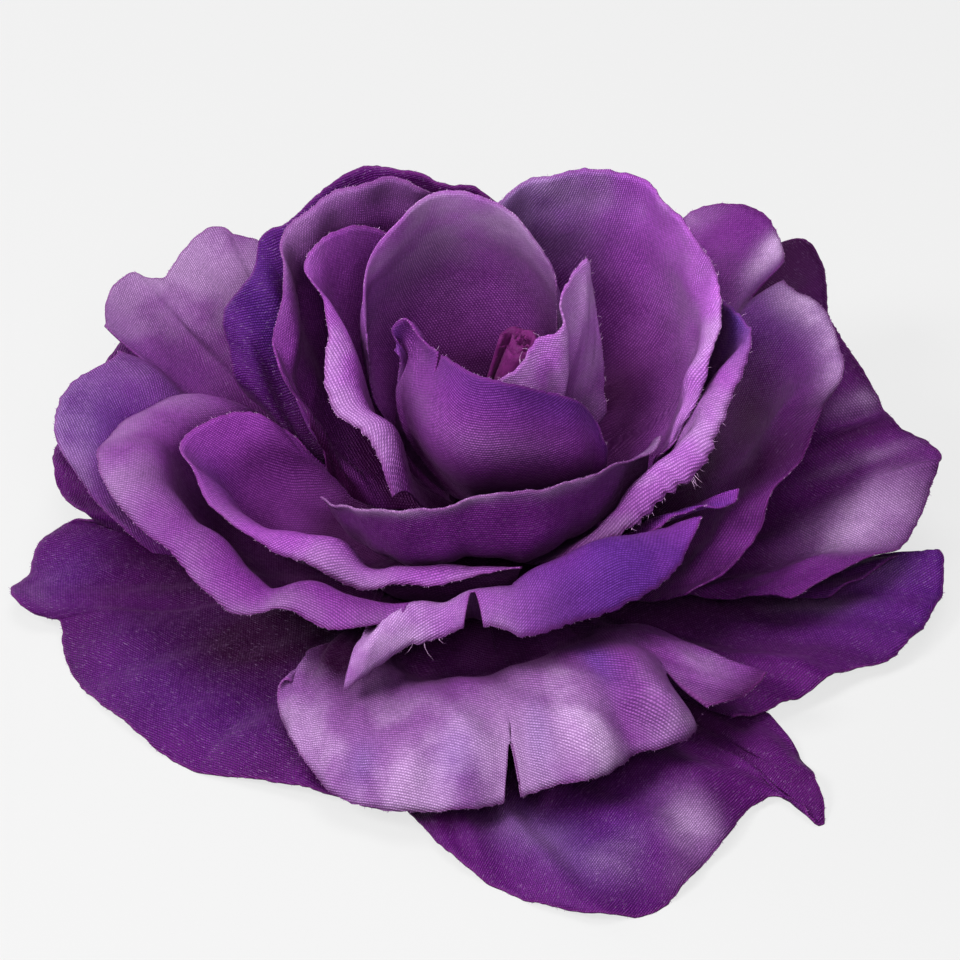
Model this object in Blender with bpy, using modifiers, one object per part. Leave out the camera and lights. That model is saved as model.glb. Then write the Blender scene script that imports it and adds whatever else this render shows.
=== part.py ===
"""Fabric rose head, lying free on its underside.

Die-cut cloth petals, each one a separate piece, are glued by their narrow claws to a moulded
plastic peg. They are stacked from the innermost bud petal at the top of the peg to the lowest
row at its foot, so that every petal lies outside and below all the ones listed before it. A
green plastic calyx closes the underside and carries the peg, and a rolled, frayed strip of
cloth stands in the middle of the bud.

Frame: metres, +Z up along the flower's axis, +X to the right and -Y to the front. The origin is
on the axis, in the flat face under the calyx that the flower rests on.
"""
import math

import bmesh
import bpy
import numpy as np

MM = 0.001

# Driving sizes, in millimetres unless a name says otherwise.
CLOTH = 0.3                # thickness of a petal
CLEARANCE = 0.9            # least distance kept between the middles of two petals
CLEARANCE_REACH = 3.5      # a petal this far inside another one is still brought back out
FACING_REACH = 3.0         # how far off to the side another petal still counts as opposite
FLOOR = 0.35               # lowest height for the middle of a petal
PEG_RADIUS = 2.6
PEG_TOP = 18.0
CLAW_RADIUS = 3.1          # petals start here, just clear of the peg
TOP_CLAW = 16.0            # height of the first petal's claw on the peg
CLAW_STEP = 0.5            # each next claw sits this much lower
SPREAD = 2.4               # how early a petal fans out from its claw to its full width
BULGE = 0.58               # how far out along a petal its cup is deepest, 0 to 1
ROWS = 9                   # grid lines from claw to rim
FINE = 3                   # settling is worked out on a grid this much finer
SETTLE_ROUNDS = 16
SETTLED = 0.05             # largest move that is too small to matter
GLUED = 0.12               # how far out along a petal its glue holds it, 0 to 1
NESTED = 0.1               # least cosine between the outer sides of two petals that nest
POINTS_AT_ONCE = 400       # keeps the table of distances small

PEG_TAPER = 0.7            # its top's radius over its foot's
PEG_SIDES = 20

CALYX_RADIUS = 7.0         # the flat resting face
CALYX_HEIGHT = 3.6
SEPALS = 5
SEPAL_COLUMNS = 8          # points round each sepal
SEPAL_POINT = 1.6          # how sharply a sepal narrows to its tip
SEPAL_ROOT = 8.5           # where the sepals part, from the axis
SEPAL_REACH = 17.0         # tip of a sepal, from the axis
BLADE_SHARE = 0.45         # how far out along a sepal its blade bends
SHOULDER_SHARE = 0.85      # the hub's shoulder, as a share of the resting face
SHOULDER_HEIGHT = 2.6
BLADE_TOP = 2.0
SEPAL_TIP_HEIGHT = 1.2
BLADE_UNDERSIDE = 1.0
SOCKET_GAP = 0.3           # between the peg and its socket in the calyx
SOCKET_WALL = 1.2
SOCKET_FLOOR = 1.2

TUFT_RADIUS = 2.0
TUFT_WAIST = 0.8           # its foot's radius over its top's
TUFT_SIDES = 16
TUFT_FOOT = (0.0, 0.0, 18.4)
TUFT_HEAD = (3.9, 1.0, 35.0)

# Every petal, innermost first. The rim is a smooth curve through the points
# (azimuth in degrees, distance from the axis, height, depth of the cup, height of the rolled lip);
# azimuth runs from +X towards +Y. The claw is centred on its own azimuth. The crest says
# how far out the rolled lip turns over, from 0 at the claw to 1 at the rim.
PETALS = [
    # furled inner bud petal, its corner folded over at the top right
    dict(name="bud_tip", claw=-30, width=5, crest=0.8, columns=11, rim=[
        (-111, 3, 28, 1.5, 0), (-67, 5.5, 34, 2, 0), (-11, 6.5, 36.5, 2.5, 0),
        (-5, 8.5, 37.5, 2.5, 0), (6, 8.2, 39.5, 2.5, 0), (13, 9.7, 41.5, 2, 0),
        (15, 11.6, 43.5, 2, 0), (17, 12.3, 40, 2, 0), (17, 13, 35, 2, 0), (16, 13.6, 30, 1.5, 0),
        (14, 14, 23, 1, 0)]),
    # outer bud petal wrapped round the front, notched, its left corner rolled in
    dict(name="bud_front", claw=265, width=6, crest=0.85, columns=11, rim=[
        (165, 9.5, 22, 1, 0), (165, 9, 27.5, 1.5, 0), (170, 8, 32.5, 2, 0.5),
        (169, 9.5, 35, 2.5, 1.5), (169, 8.5, 36.5, 2.5, 1.5), (199, 6.5, 36, 3, 1),
        (222, 6, 36.5, 4, 0.5), (241, 6.5, 37, 5, 0), (263, 8, 37, 5.5, 0), (283, 9, 36.5, 5, 0),
        (306, 10.5, 35, 5, 0), (323, 12.5, 33, 5, 0), (330, 13.5, 30.5, 4.5, 0),
        (333, 14.5, 27, 4, 0), (337, 14.5, 22.5, 3.5, 0)]),
    # upright hollow petal behind the bud
    dict(name="bud_back", claw=100, width=5, crest=0.85, columns=11, rim=[
        (44, 12, 21, 2, 0), (42, 11, 31, 3.5, 0), (42, 10, 39.5, 5, 0.5), (61, 8.5, 45, 6, 1),
        (90, 8, 47.5, 6.5, 1), (116, 9.5, 48, 6.5, 1), (137, 11, 46, 6.5, 1), (149, 13, 42.5, 6, 1),
        (156, 13.5, 37, 5, 1), (157, 13, 30, 3.5, 0.5)]),
    # narrow petal left of the bud with a broad rolled lip
    dict(name="inner_left", claw=175, width=5, crest=0.78, columns=11, rim=[
        (121, 16.5, 38, 4, 0), (137, 18.5, 41, 4.5, 0.5), (150, 20, 40.5, 4.5, 1),
        (155, 20.5, 39, 4, 2), (160, 18, 37, 4, 2.5), (169, 16.5, 33.5, 3, 3),
        (183, 16.5, 30.5, 3, 4), (191, 16, 28, 2.5, 4.5), (200, 13.5, 26.5, 2, 4),
        (211, 12.5, 24, 2, 3), (222, 12.5, 20.5, 1.5, 2)]),
    # low cup in front of the bud
    dict(name="inner_front", claw=270, width=6, crest=0.9, columns=11, rim=[
        (200, 18, 19, 5, 0.5), (219, 18, 22, 5, 0.5), (236, 18.5, 24.5, 5.5, 0.5),
        (253, 17.5, 26, 5.5, 0.5), (270, 16.5, 27.5, 5.5, 0.5), (292, 17, 27.5, 6, 0.5),
        (314, 17, 27, 5.5, 0.5), (337, 17.5, 26, 5.5, 1), (351, 19, 25.5, 6, 1)]),
    # tall round petal behind and right of the bud
    dict(name="inner_right_back", claw=45, width=6, crest=0.85, columns=15, rim=[
        (-10, 18.5, 22.5, 3.5, 0.5), (-4, 22, 26.5, 5, 2), (3, 24.5, 31, 6, 2), (11, 26, 35.5, 7, 2),
        (17, 25.5, 39.5, 7.5, 2), (23, 24.5, 42.5, 8, 1.5), (34, 23, 45, 8, 1), (44, 21.5, 46, 8, 1),
        (53, 19, 46.5, 8, 1), (64, 17, 45.5, 7.5, 1), (79, 14.5, 43.5, 7, 1), (96, 15, 38, 6, 0)]),
    # frayed petal outside it, with a rolled lip that comes round to the front
    dict(name="inner_right", claw=-25, width=6, crest=0.8, columns=11, rim=[
        (-60, 17, 17, 3, 2), (-48, 18.5, 18.5, 3.5, 3.5), (-36, 20.5, 20, 4, 5),
        (-25, 22, 21.5, 4.5, 5.5), (-17, 24.5, 23.5, 5, 6), (-10, 25.5, 26.5, 6, 5.5),
        (-3, 27, 29.5, 6.5, 5), (4, 28.5, 32, 7, 4), (8, 29, 33.5, 7.5, 2), (17, 27, 34.5, 7, 0),
        (28, 25.5, 33, 6.5, 0)]),
    # tall petal behind and left of the bud
    dict(name="inner_back_left", claw=125, width=6, crest=0.85, columns=11, rim=[
        (101, 17.5, 41, 6.5, 0), (113, 16.5, 44, 7, 0.5), (124, 18, 45, 7, 0.5),
        (134, 20.5, 44.5, 7.5, 1), (144, 22.5, 42.5, 7, 1), (152, 23.5, 39.5, 7, 1),
        (160, 22, 36, 6, 1), (168, 22, 31, 5.5, 1), (171, 21.5, 28.5, 5, 1), (172, 19.5, 25, 4, 1),
        (175, 17.5, 22, 3.5, 0.5), (175, 16.5, 17.5, 3, 0)]),
    # cup from the left round to the front
    dict(name="mid_inner_left", claw=215, width=6, crest=0.82, columns=11, rim=[
        (163, 20, 16, 2.5, 0), (163, 24.5, 20, 5, 0.5), (168, 28, 21, 7, 1), (175, 31, 21, 7.5, 1),
        (180, 32, 20.5, 8, 1), (185, 30.5, 19, 7.5, 1.5), (190, 29.5, 17.5, 7, 2),
        (199, 26.5, 16.5, 6.5, 3), (207, 25, 16, 5.5, 4), (219, 22.5, 16, 5, 4.5),
        (234, 21, 15, 6, 4.5), (243, 19.5, 16, 6.5, 4.5), (258, 18.5, 16.5, 6.5, 4),
        (272, 17.5, 18, 6.5, 3), (285, 16.5, 18, 6, 1.5)]),
    # small pointed petal that shows only as a thin curled edge
    dict(name="mid_right_tip", claw=-35, width=5, crest=0.85, columns=11, rim=[
        (-44, 19, 16, 1.5, 0.5), (-31, 21.5, 18.5, 2, 1), (-21, 25, 20, 2.5, 1),
        (-18, 28.5, 20.5, 2.5, 1), (-16, 28.5, 21.5, 2.5, 0.5)]),
    # tall outermost petal of the back left wall
    dict(name="mid_back_left", claw=118, width=6, crest=0.82, columns=11, rim=[
        (79, 17.5, 39, 6.5, 0), (92, 17.5, 42, 7, 0.5), (99, 18, 42.5, 7, 1),
        (107, 20.5, 43, 7.5, 1), (115, 22.5, 43, 7.5, 1), (123, 26, 41.5, 7.5, 1),
        (130, 28, 38.5, 7.5, 1), (136, 29.5, 35.5, 7, 1.5), (138, 31.5, 34, 7.5, 2),
        (143, 31, 30, 7, 3), (148, 33, 26.5, 6.5, 3), (151, 31, 22, 6, 2.5),
        (152, 29, 17.5, 4.5, 1.5)]),
    # big open cup at the left with a wide rolled lip
    dict(name="mid_left", claw=200, width=6, crest=0.8, columns=15, rim=[
        (146, 29, 12, 5, 1), (150, 33.5, 14.5, 6, 3), (158, 38, 15.5, 7, 4),
        (168, 40.5, 17, 7.5, 4), (177, 41, 18, 7.5, 4), (184, 40, 17.5, 7.5, 4),
        (191, 37.5, 16.5, 7, 4), (199, 34.5, 15.5, 6.5, 4), (209, 33, 14, 6, 3.5),
        (216, 32, 13.5, 6, 4), (225, 28.5, 15, 5, 4), (237, 27.5, 14.5, 5, 4),
        (250, 23.5, 16.5, 4.5, 2.5)]),
    # slit front petal with a wide rolled lip, drooping at its left end
    dict(name="mid_front", claw=280, width=6, crest=0.8, columns=15, rim=[
        (242, 30.5, 11.5, 1, 5), (243, 31.5, 11, 1, 5), (245, 30.5, 11.5, 1.5, 5.5),
        (247, 28, 12, 2.5, 5.5), (252, 25, 13, 4, 5.5), (260, 24, 14, 5, 5),
        (267, 23.5, 15.5, 5, 5), (275, 24, 15.5, 5.5, 5.5), (280, 25, 15, 5.5, 6),
        (289, 25, 15.5, 5.5, 6.5), (299, 25.5, 16, 5.5, 6.5), (309, 26.5, 17, 5, 6),
        (318, 27, 18, 4.5, 4.5), (332, 26, 21.5, 3.5, 1)]),
    # hidden petal that closes the wall at the back right
    dict(name="mid_back_right", claw=65, width=6, crest=0.85, columns=11, rim=[
        (31, 27.5, 26, 6, 1), (35, 27.5, 30, 6.5, 1), (43, 27, 33, 6.5, 1), (54, 26, 35, 7, 1),
        (66, 23.5, 36, 6.5, 1), (78, 21.5, 35, 6.5, 1), (93, 22, 31, 5.5, 0)]),
    # heart-shaped petal at the back left
    dict(name="outer_left", claw=150, width=6, crest=0.8, columns=15, rim=[
        (133, 30.5, 20, 3, 0), (126, 42.5, 23.5, 4, 1), (128, 44.5, 24, 4.5, 1),
        (129, 47.5, 24, 4.5, 1), (134, 48, 22.5, 4.5, 1), (139, 47.5, 20.5, 4.5, 1),
        (141, 50.5, 21, 5, 1), (145, 50.5, 20.5, 5, 1), (149, 48.5, 18.5, 4.5, 1),
        (153, 45, 18, 4.5, 1), (161, 47.5, 18, 4.5, 1), (167, 47.5, 17, 4.5, 1.5),
        (171, 46.5, 15.5, 4.5, 1.5), (176, 42.5, 13, 4, 1), (180, 39.5, 11, 3.5, 1),
        (183, 35.5, 8, 3, 0.5)]),
    # heart-shaped petal at the right and back right
    dict(name="outer_right", claw=25, width=6, crest=0.8, columns=15, rim=[
        (-29, 25.5, 10, 2.5, 0), (-6, 31.5, 15.5, 3.5, 0.5), (3, 34.5, 18.5, 4, 1),
        (11, 37.5, 20.5, 4.5, 1.5), (14, 40.5, 22.5, 5, 2), (20, 41.5, 24, 5, 2),
        (28, 42, 25.5, 5, 2), (33, 40.5, 26, 5, 1.5), (38, 42.5, 26.5, 5, 1.5),
        (41, 44, 27.5, 5.5, 1.5), (48, 46, 28, 5.5, 1.5), (51, 45.5, 28, 5.5, 1),
        (56, 41.5, 27.5, 5, 0.5), (60, 39, 24, 4.5, 0)]),
    # heart-shaped, slit front petal that arches over and hangs down
    dict(name="outer_front", claw=270, width=6, crest=0.68, columns=15, rim=[
        (231, 27, 8, 1, 0.5), (227, 30, 7.5, 1.5, 1), (229, 32.5, 6.5, 1.5, 2.5),
        (237, 35.5, 5, 1.5, 4), (244, 38, 4, 1.5, 5), (250, 39.5, 3.5, 2, 5.5), (258, 40, 4, 2, 6),
        (267, 39.5, 4.5, 2, 6), (274, 39, 5, 2, 6), (280, 38, 5.5, 2, 6), (289, 38, 6, 1.5, 6),
        (296, 37, 6.5, 1.5, 6), (306, 37, 6.5, 1.5, 5), (310, 35, 7, 1.5, 4),
        (313, 36.5, 8, 1.5, 3), (316, 38, 9, 1.5, 2.5), (321, 38.5, 9.5, 2, 1.5)]),
    # round petal that closes the back, below the tall ones
    dict(name="outer_back", claw=97, width=6, crest=0.75, columns=11, rim=[
        (66, 24, 15, 2, 0), (69, 30, 18, 3, 0.5), (76, 34.5, 20, 3.5, 1), (86, 37, 21.5, 3.5, 1.5),
        (96, 38, 21.5, 3.5, 1.5), (105, 37, 20, 3, 1.5), (114, 34, 17.5, 2.5, 1),
        (119, 29.5, 15, 2, 0.5), (120, 24, 12.5, 1.5, 0)]),
    # lowest row: left, mostly hidden
    dict(name="base_left_back", claw=155, width=6, crest=0.75, columns=11, rim=[
        (129, 50.5, 12, 3, 0.5), (138, 51.5, 12, 3, 0.5), (148, 50.5, 11, 3, 0.5),
        (158, 50, 9.5, 3, 0.5), (163, 49.5, 8, 3, 0.5), (167, 47.5, 7, 2.5, 0.5),
        (170, 44, 6, 2.5, 0.5), (169, 42, 5, 2.5, 0), (171, 36.5, 5, 2, 0)]),
    # lowest row: left and front left, spread flat
    dict(name="base_left", claw=205, width=6, crest=0.75, columns=15, rim=[
        (168, 36, 5, 2, 0), (168, 43, 4, 2.5, 0.5), (169, 47, 3.5, 2.5, 1), (173, 49, 3, 3, 1),
        (178, 49.5, 2.5, 3, 1), (183, 51, 2.5, 3, 1), (186, 49, 2, 3, 1), (187, 46, 1.5, 2.5, 1),
        (193, 46, 1, 2.5, 1.5), (201, 45, 0.5, 2.5, 1.5), (208, 43.5, 0.5, 2.5, 1.5),
        (223, 41.5, 0.5, 2.5, 1.5), (234, 38.5, 1, 2, 1.5), (245, 37, 1.5, 2, 1),
        (255, 36, 2, 2, 0.5)]),
    # lowest row: right and back right
    dict(name="base_right_back", claw=35, width=6, crest=0.75, columns=15, rim=[
        (-13, 34, 8, 2, 0), (-5, 43, 8.5, 2.5, 0.5), (2, 47, 9, 2.5, 1), (8, 50, 10.5, 3, 1),
        (11, 51.5, 11.5, 3, 1), (14, 50.5, 12.5, 3, 1), (17, 48.5, 13, 3, 1),
        (24, 47.5, 14.5, 2.5, 1), (30, 47.5, 16, 2.5, 1), (38, 49.5, 17, 3, 1), (44, 54, 18, 3, 1),
        (48, 55, 19, 3, 0.5), (50, 53, 19, 3, 0), (51, 49, 17, 3, 0)]),
    # lowest row: right, between its two neighbours
    dict(name="base_right", claw=-15, width=6, crest=0.75, columns=15, rim=[
        (-42, 36, 3, 2, 0), (-36, 37, 3, 2, 0.5), (-27, 39.5, 2.5, 2, 1), (-19, 43, 2.5, 2.5, 1),
        (-17, 45, 2.5, 2.5, 1), (-12, 47.5, 2.5, 2.5, 1), (-6, 49.5, 3, 3, 1), (-1, 50.5, 4, 3, 1),
        (3, 50, 4.5, 3, 1), (3, 47.5, 5, 2.5, 1), (0, 44, 5, 2.5, 0.5), (-6, 38, 4.5, 2, 0)]),
    # lowest row: front, with a tail lobe at the right
    dict(name="base_front", claw=285, width=6, crest=0.75, columns=15, rim=[
        (256, 34.5, 2, 1.5, 0), (264, 41, 1, 2, 1), (272, 46.5, 0.5, 2, 1.5),
        (278, 50, 0.5, 2.5, 1.5), (283, 52.5, 0.5, 2.5, 1.5), (289, 53, 0.5, 2.5, 1.5),
        (296, 50, 1, 2.5, 1.5), (304, 46.5, 1, 2, 1.5), (308, 45, 1, 2, 1.5), (312, 45, 1, 2, 1),
        (314, 47.5, 1, 2, 1), (314, 51, 0.5, 2.5, 0.5), (316, 49.5, 0.5, 2.5, 0.5),
        (319, 45.5, 1, 2, 1), (323, 41, 1.5, 2, 1), (325, 37, 2.5, 1.5, 0.5)]),
    # lowest row: back, hidden
    dict(name="base_back", claw=100, width=6, crest=0.75, columns=11, rim=[
        (63, 40.5, 10, 2.5, 0.5), (70, 46.5, 10, 2.5, 1), (80, 51, 9, 3, 1), (87, 51.5, 9, 3, 1),
        (97, 51, 9, 3, 1), (105, 47.5, 10, 2.5, 1), (114, 41.5, 10, 2.5, 0.5)]),
]


def rim_curve(rim, u):
    """Smooth curve through the rim's points at the places u, 0 to 1 along its length.

    Cubic pieces join the points; at each point the slope is that of its two neighbours. All five
    values of a point (azimuth, radius, height, cup, lip) run along the same pieces.
    """
    points = np.array(rim, float)
    points[:, 0] = np.radians(points[:, 0])
    place = np.stack([points[:, 1] * np.cos(points[:, 0]),
                      points[:, 1] * np.sin(points[:, 0]), points[:, 2]], axis=1)
    knots = np.concatenate([[0], np.cumsum(np.linalg.norm(np.diff(place, axis=0), axis=1))])
    knots /= knots[-1]
    slope = np.gradient(points, knots, axis=0)
    i = np.clip(np.searchsorted(knots, u, side="right") - 1, 0, len(knots) - 2)
    width = (knots[i + 1] - knots[i])[:, None]
    x = (u[:, None] - knots[i][:, None]) / width
    return ((2 * x**3 - 3 * x**2 + 1) * points[i] + (x**3 - 2 * x**2 + x) * width * slope[i]
            + (3 * x**2 - 2 * x**3) * points[i + 1] + (x**3 - x**2) * width * slope[i + 1])


def petal_surface(petal, claw_height, columns, rows):
    """Middle surface of a petal as a grid of points, columns along the rim by rows outwards.

    In the upright plane through the axis, each line runs straight from the claw to the rim. It is
    bent out and down by the cup, a single bump that is deepest at BULGE, and up and in by the lip,
    a bump that peaks at the crest. Its azimuth fans out from the claw's to the rim's, fast at
    first: 1 - (1 - s) ** SPREAD.
    """
    u = np.linspace(0, 1, columns)
    azimuth, radius, height, cup, lip = rim_curve(petal["rim"], u).T
    turn = np.sign(azimuth[-1] - azimuth[0])
    start = math.radians(petal["claw"]) + turn * (u - 0.5) * petal["width"] / CLAW_RADIUS
    rise, run = height - claw_height, radius - CLAW_RADIUS
    length = np.hypot(rise, run)
    s = np.linspace(0, 1, rows)[None, :]
    cup_bump = np.sin(math.pi * s ** (math.log(0.5) / math.log(BULGE)))
    crest = petal["crest"]
    power = crest / (1 - crest)
    lip_bump = s**power * (1 - s) / (crest**power * (1 - crest))
    out = cup[:, None] * cup_bump - lip[:, None] * lip_bump
    angle = start[:, None] + (azimuth - start)[:, None] * (1 - (1 - s) ** SPREAD)
    r = CLAW_RADIUS + run[:, None] * s + out * (rise / length)[:, None]
    z = claw_height + rise[:, None] * s - out * (run / length)[:, None]
    return np.stack([r * np.cos(angle), r * np.sin(angle), z], axis=-1), turn


def outward(grid, turn):
    """Unit normals on a petal's outer side, that is away from the axis and down."""
    normal = np.cross(np.gradient(grid, axis=0), np.gradient(grid, axis=1)) * turn
    return normal / np.maximum(np.linalg.norm(normal, axis=-1, keepdims=True), 1e-9)


def smoothed(field):
    """Mean of each grid value and its eight neighbours, nearer ones counting more."""
    p = np.pad(field, ((1, 1), (1, 1), (0, 0)), mode="edge")
    across = p[:-2] + 2 * p[1:-1] + p[2:]
    return (across[:, :-2] + 2 * across[:, 1:-1] + across[:, 2:]) / 16


def push_off(points, normals, other):
    """Moves that bring the points of one petal clear of another petal that is already placed.

    Each point looks at the nearest grid point of the other petal. Where both face the same way,
    the new petal belongs outside, and it is moved out along the other's normal until it clears
    it. Where they face different ways it is moved to whichever side it is already on.
    """
    placed, placed_normals, on_edge = other
    moves = np.zeros_like(points)
    for first in range(0, len(points), POINTS_AT_ONCE):
        part = slice(first, first + POINTS_AT_ONCE)
        p = points[part]
        distance = (p**2).sum(1)[:, None] + (placed**2).sum(1)[None] - 2 * p @ placed.T
        near = distance.argmin(axis=1)
        normal = placed_normals[near]
        gap = p - placed[near]
        depth = (gap * normal).sum(axis=1)
        aside = np.sqrt(np.maximum((gap**2).sum(axis=1) - depth**2, 0))
        facing = aside < np.where(on_edge[near], CLEARANCE, FACING_REACH)
        nested = (normals[part] * normal).sum(axis=1) > NESTED
        out = np.where((depth < CLEARANCE) & (depth > -CLEARANCE_REACH), CLEARANCE - depth, 0)
        aside_move = np.where(np.abs(depth) < CLEARANCE,
                              np.where(depth > 0, 1, -1) * (CLEARANCE - np.abs(depth)), 0)
        moves[part] = (facing * np.where(nested, out, aside_move))[:, None] * normal
    return moves


def settle(petals):
    """Lays the petals on one another, innermost first, and returns each one's grid of points."""
    placed, grids = [], {}
    for index, petal in enumerate(petals):
        columns = (petal["columns"] - 1) * FINE + 1
        rows = (ROWS - 1) * FINE + 1
        grid, turn = petal_surface(petal, TOP_CLAW - CLAW_STEP * index, columns, rows)
        shift = np.zeros_like(grid)
        held = np.clip(np.linspace(0, 1, rows) / GLUED, 0, 1)[None, :, None]
        for turn_round in range(SETTLE_ROUNDS):
            now = grid + shift
            points, normals = now.reshape(-1, 3), outward(now, turn).reshape(-1, 3)
            moves = np.zeros_like(points)
            for other in placed:
                more = push_off(points, normals, other)
                larger = (more**2).sum(axis=1) > (moves**2).sum(axis=1)
                moves[larger] = more[larger]
            if np.linalg.norm(moves, axis=1).max() < SETTLED:
                break
            shift += moves.reshape(grid.shape) * held
            if turn_round < SETTLE_ROUNDS - 2:
                shift = smoothed(shift)
        done = grid + shift
        done[..., 2] = np.maximum(done[..., 2], FLOOR)
        edge = np.zeros(done.shape[:2], bool)
        edge[[0, -1], :] = True
        edge[:, [0, -1]] = True
        placed.append((done.reshape(-1, 3), outward(done, turn).reshape(-1, 3), edge.ravel()))
        grids[petal["name"]] = (done[::FINE, ::FINE], turn)
    return grids


def material(name, colour, roughness):
    """Plain Principled material."""
    made = bpy.data.materials.new(name)
    made.use_nodes = True
    shader = made.node_tree.nodes["Principled BSDF"]
    shader.inputs["Base Color"].default_value = (*colour, 1.0)
    shader.inputs["Roughness"].default_value = roughness
    shader.inputs["Metallic"].default_value = 0.0
    return made


def add_object(name, mesh, finish):
    """Puts a mesh in the flower's collection with its material."""
    piece = bpy.data.objects.new(name, mesh)
    mesh.materials.append(finish)
    flower.objects.link(piece)
    return piece


for leftover in list(bpy.data.objects):
    bpy.data.objects.remove(leftover, do_unlink=True)
flower = bpy.data.collections.new("fabric_rose_head")
bpy.context.scene.collection.children.link(flower)

cloth = material("petal_cloth", (0.20, 0.035, 0.30), 0.55)
tuft_cloth = material("tuft_cloth", (0.25, 0.03, 0.22), 0.8)
green_plastic = material("calyx_plastic", (0.05, 0.14, 0.04), 0.5)
pale_plastic = material("peg_plastic", (0.10, 0.20, 0.07), 0.5)

# Petals: an open grid of faces with the cloth's thickness laid evenly on both sides.
for petal_name, (grid, turn) in settle(PETALS).items():
    columns, rows = grid.shape[:2]
    number = np.arange(columns * rows).reshape(columns, rows)
    corners = np.stack([number[:-1, :-1], number[1:, :-1], number[1:, 1:], number[:-1, 1:]], axis=-1)
    if turn < 0:
        corners = corners[..., ::-1]
    mesh = bpy.data.meshes.new(petal_name)
    mesh.from_pydata((grid.reshape(-1, 3) * MM).tolist(), [], corners.reshape(-1, 4).tolist())
    mesh.update()
    mesh.shade_smooth()
    petal_object = add_object(petal_name, mesh, cloth)
    thickness = petal_object.modifiers.new("cloth", "SOLIDIFY")
    thickness.thickness = CLOTH * MM
    thickness.offset = 0.0

# Peg: a plain round rod that stands in the calyx's socket.
peg_foot = SOCKET_FLOOR + SOCKET_GAP
peg_mesh = bpy.data.meshes.new("peg")
peg_build = bmesh.new()
bmesh.ops.create_cone(peg_build, cap_ends=True, segments=PEG_SIDES, radius1=PEG_RADIUS * MM,
                      radius2=PEG_TAPER * PEG_RADIUS * MM, depth=(PEG_TOP - peg_foot) * MM)
bmesh.ops.translate(peg_build, verts=peg_build.verts, vec=(0, 0, (PEG_TOP + peg_foot) / 2 * MM))
peg_build.to_mesh(peg_mesh)
peg_build.free()
add_object("peg", peg_mesh, pale_plastic)

# Calyx: one moulding, turned hub and sepals together. Its outline swings out to a pointed sepal
# five times round; the profile runs up the socket, over the top, out to the sepal and back
# underneath to the flat face.
around = np.linspace(0, 2 * math.pi, SEPALS * SEPAL_COLUMNS, endpoint=False)
pointed = (np.abs(np.cos(SEPALS * around / 2)) ** SEPAL_POINT)[:, None]
socket = PEG_RADIUS + SOCKET_GAP
reach = SEPAL_ROOT + (SEPAL_REACH - SEPAL_ROOT) * pointed
blade = CALYX_RADIUS + BLADE_SHARE * (reach - CALYX_RADIUS)
one = np.ones_like(pointed)
profile_r = np.hstack([socket * one, socket * one, (socket + SOCKET_WALL) * one,
                       SHOULDER_SHARE * CALYX_RADIUS * one, blade, reach, blade, CALYX_RADIUS * one])
profile_z = np.hstack([SOCKET_FLOOR * one, CALYX_HEIGHT * one, CALYX_HEIGHT * one,
                       SHOULDER_HEIGHT * one, BLADE_TOP * one, SEPAL_TIP_HEIGHT * one,
                       BLADE_UNDERSIDE * one, 0.0 * one])
calyx_mesh = bpy.data.meshes.new("calyx")
calyx_build = bmesh.new()
rings = []
for column in range(profile_r.shape[1]):
    rings.append([calyx_build.verts.new((profile_r[i, column] * math.cos(a) * MM,
                                         profile_r[i, column] * math.sin(a) * MM,
                                         profile_z[i, column] * MM)) for i, a in enumerate(around)])
for lower, upper in zip(rings[:-1], rings[1:]):
    for i in range(len(around)):
        j = (i + 1) % len(around)
        calyx_build.faces.new((lower[i], upper[i], upper[j], lower[j]))
socket_centre = calyx_build.verts.new((0, 0, SOCKET_FLOOR * MM))
for i in range(len(around)):
    calyx_build.faces.new((rings[0][i], rings[0][(i + 1) % len(around)], socket_centre))
calyx_build.faces.new(rings[-1])
bmesh.ops.recalc_face_normals(calyx_build, faces=calyx_build.faces)
calyx_build.to_mesh(calyx_mesh)
calyx_build.free()
add_object("calyx", calyx_mesh, green_plastic)

# Centre tuft: a rolled strip of cloth, leaning a little to the right.
foot, head = np.array(TUFT_FOOT), np.array(TUFT_HEAD)
tuft_mesh = bpy.data.meshes.new("centre_tuft")
tuft_build = bmesh.new()
bmesh.ops.create_cone(tuft_build, cap_ends=True, segments=TUFT_SIDES,
                      radius1=TUFT_WAIST * TUFT_RADIUS * MM, radius2=TUFT_RADIUS * MM,
                      depth=(head - foot)[2] * MM)
for vertex in tuft_build.verts:
    share = vertex.co.z / ((head - foot)[2] * MM) + 0.5
    vertex.co.x += (foot[0] + (head - foot)[0] * share) * MM
    vertex.co.y += (foot[1] + (head - foot)[1] * share) * MM
    vertex.co.z = (foot[2] + (head - foot)[2] * share) * MM
tuft_build.to_mesh(tuft_mesh)
tuft_build.free()
add_object("centre_tuft", tuft_mesh, tuft_cloth)
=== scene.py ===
"""Finish of a fabric rose head: cut, curled and sprayed cloth petals on a moulded peg and calyx."""
import math

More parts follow.
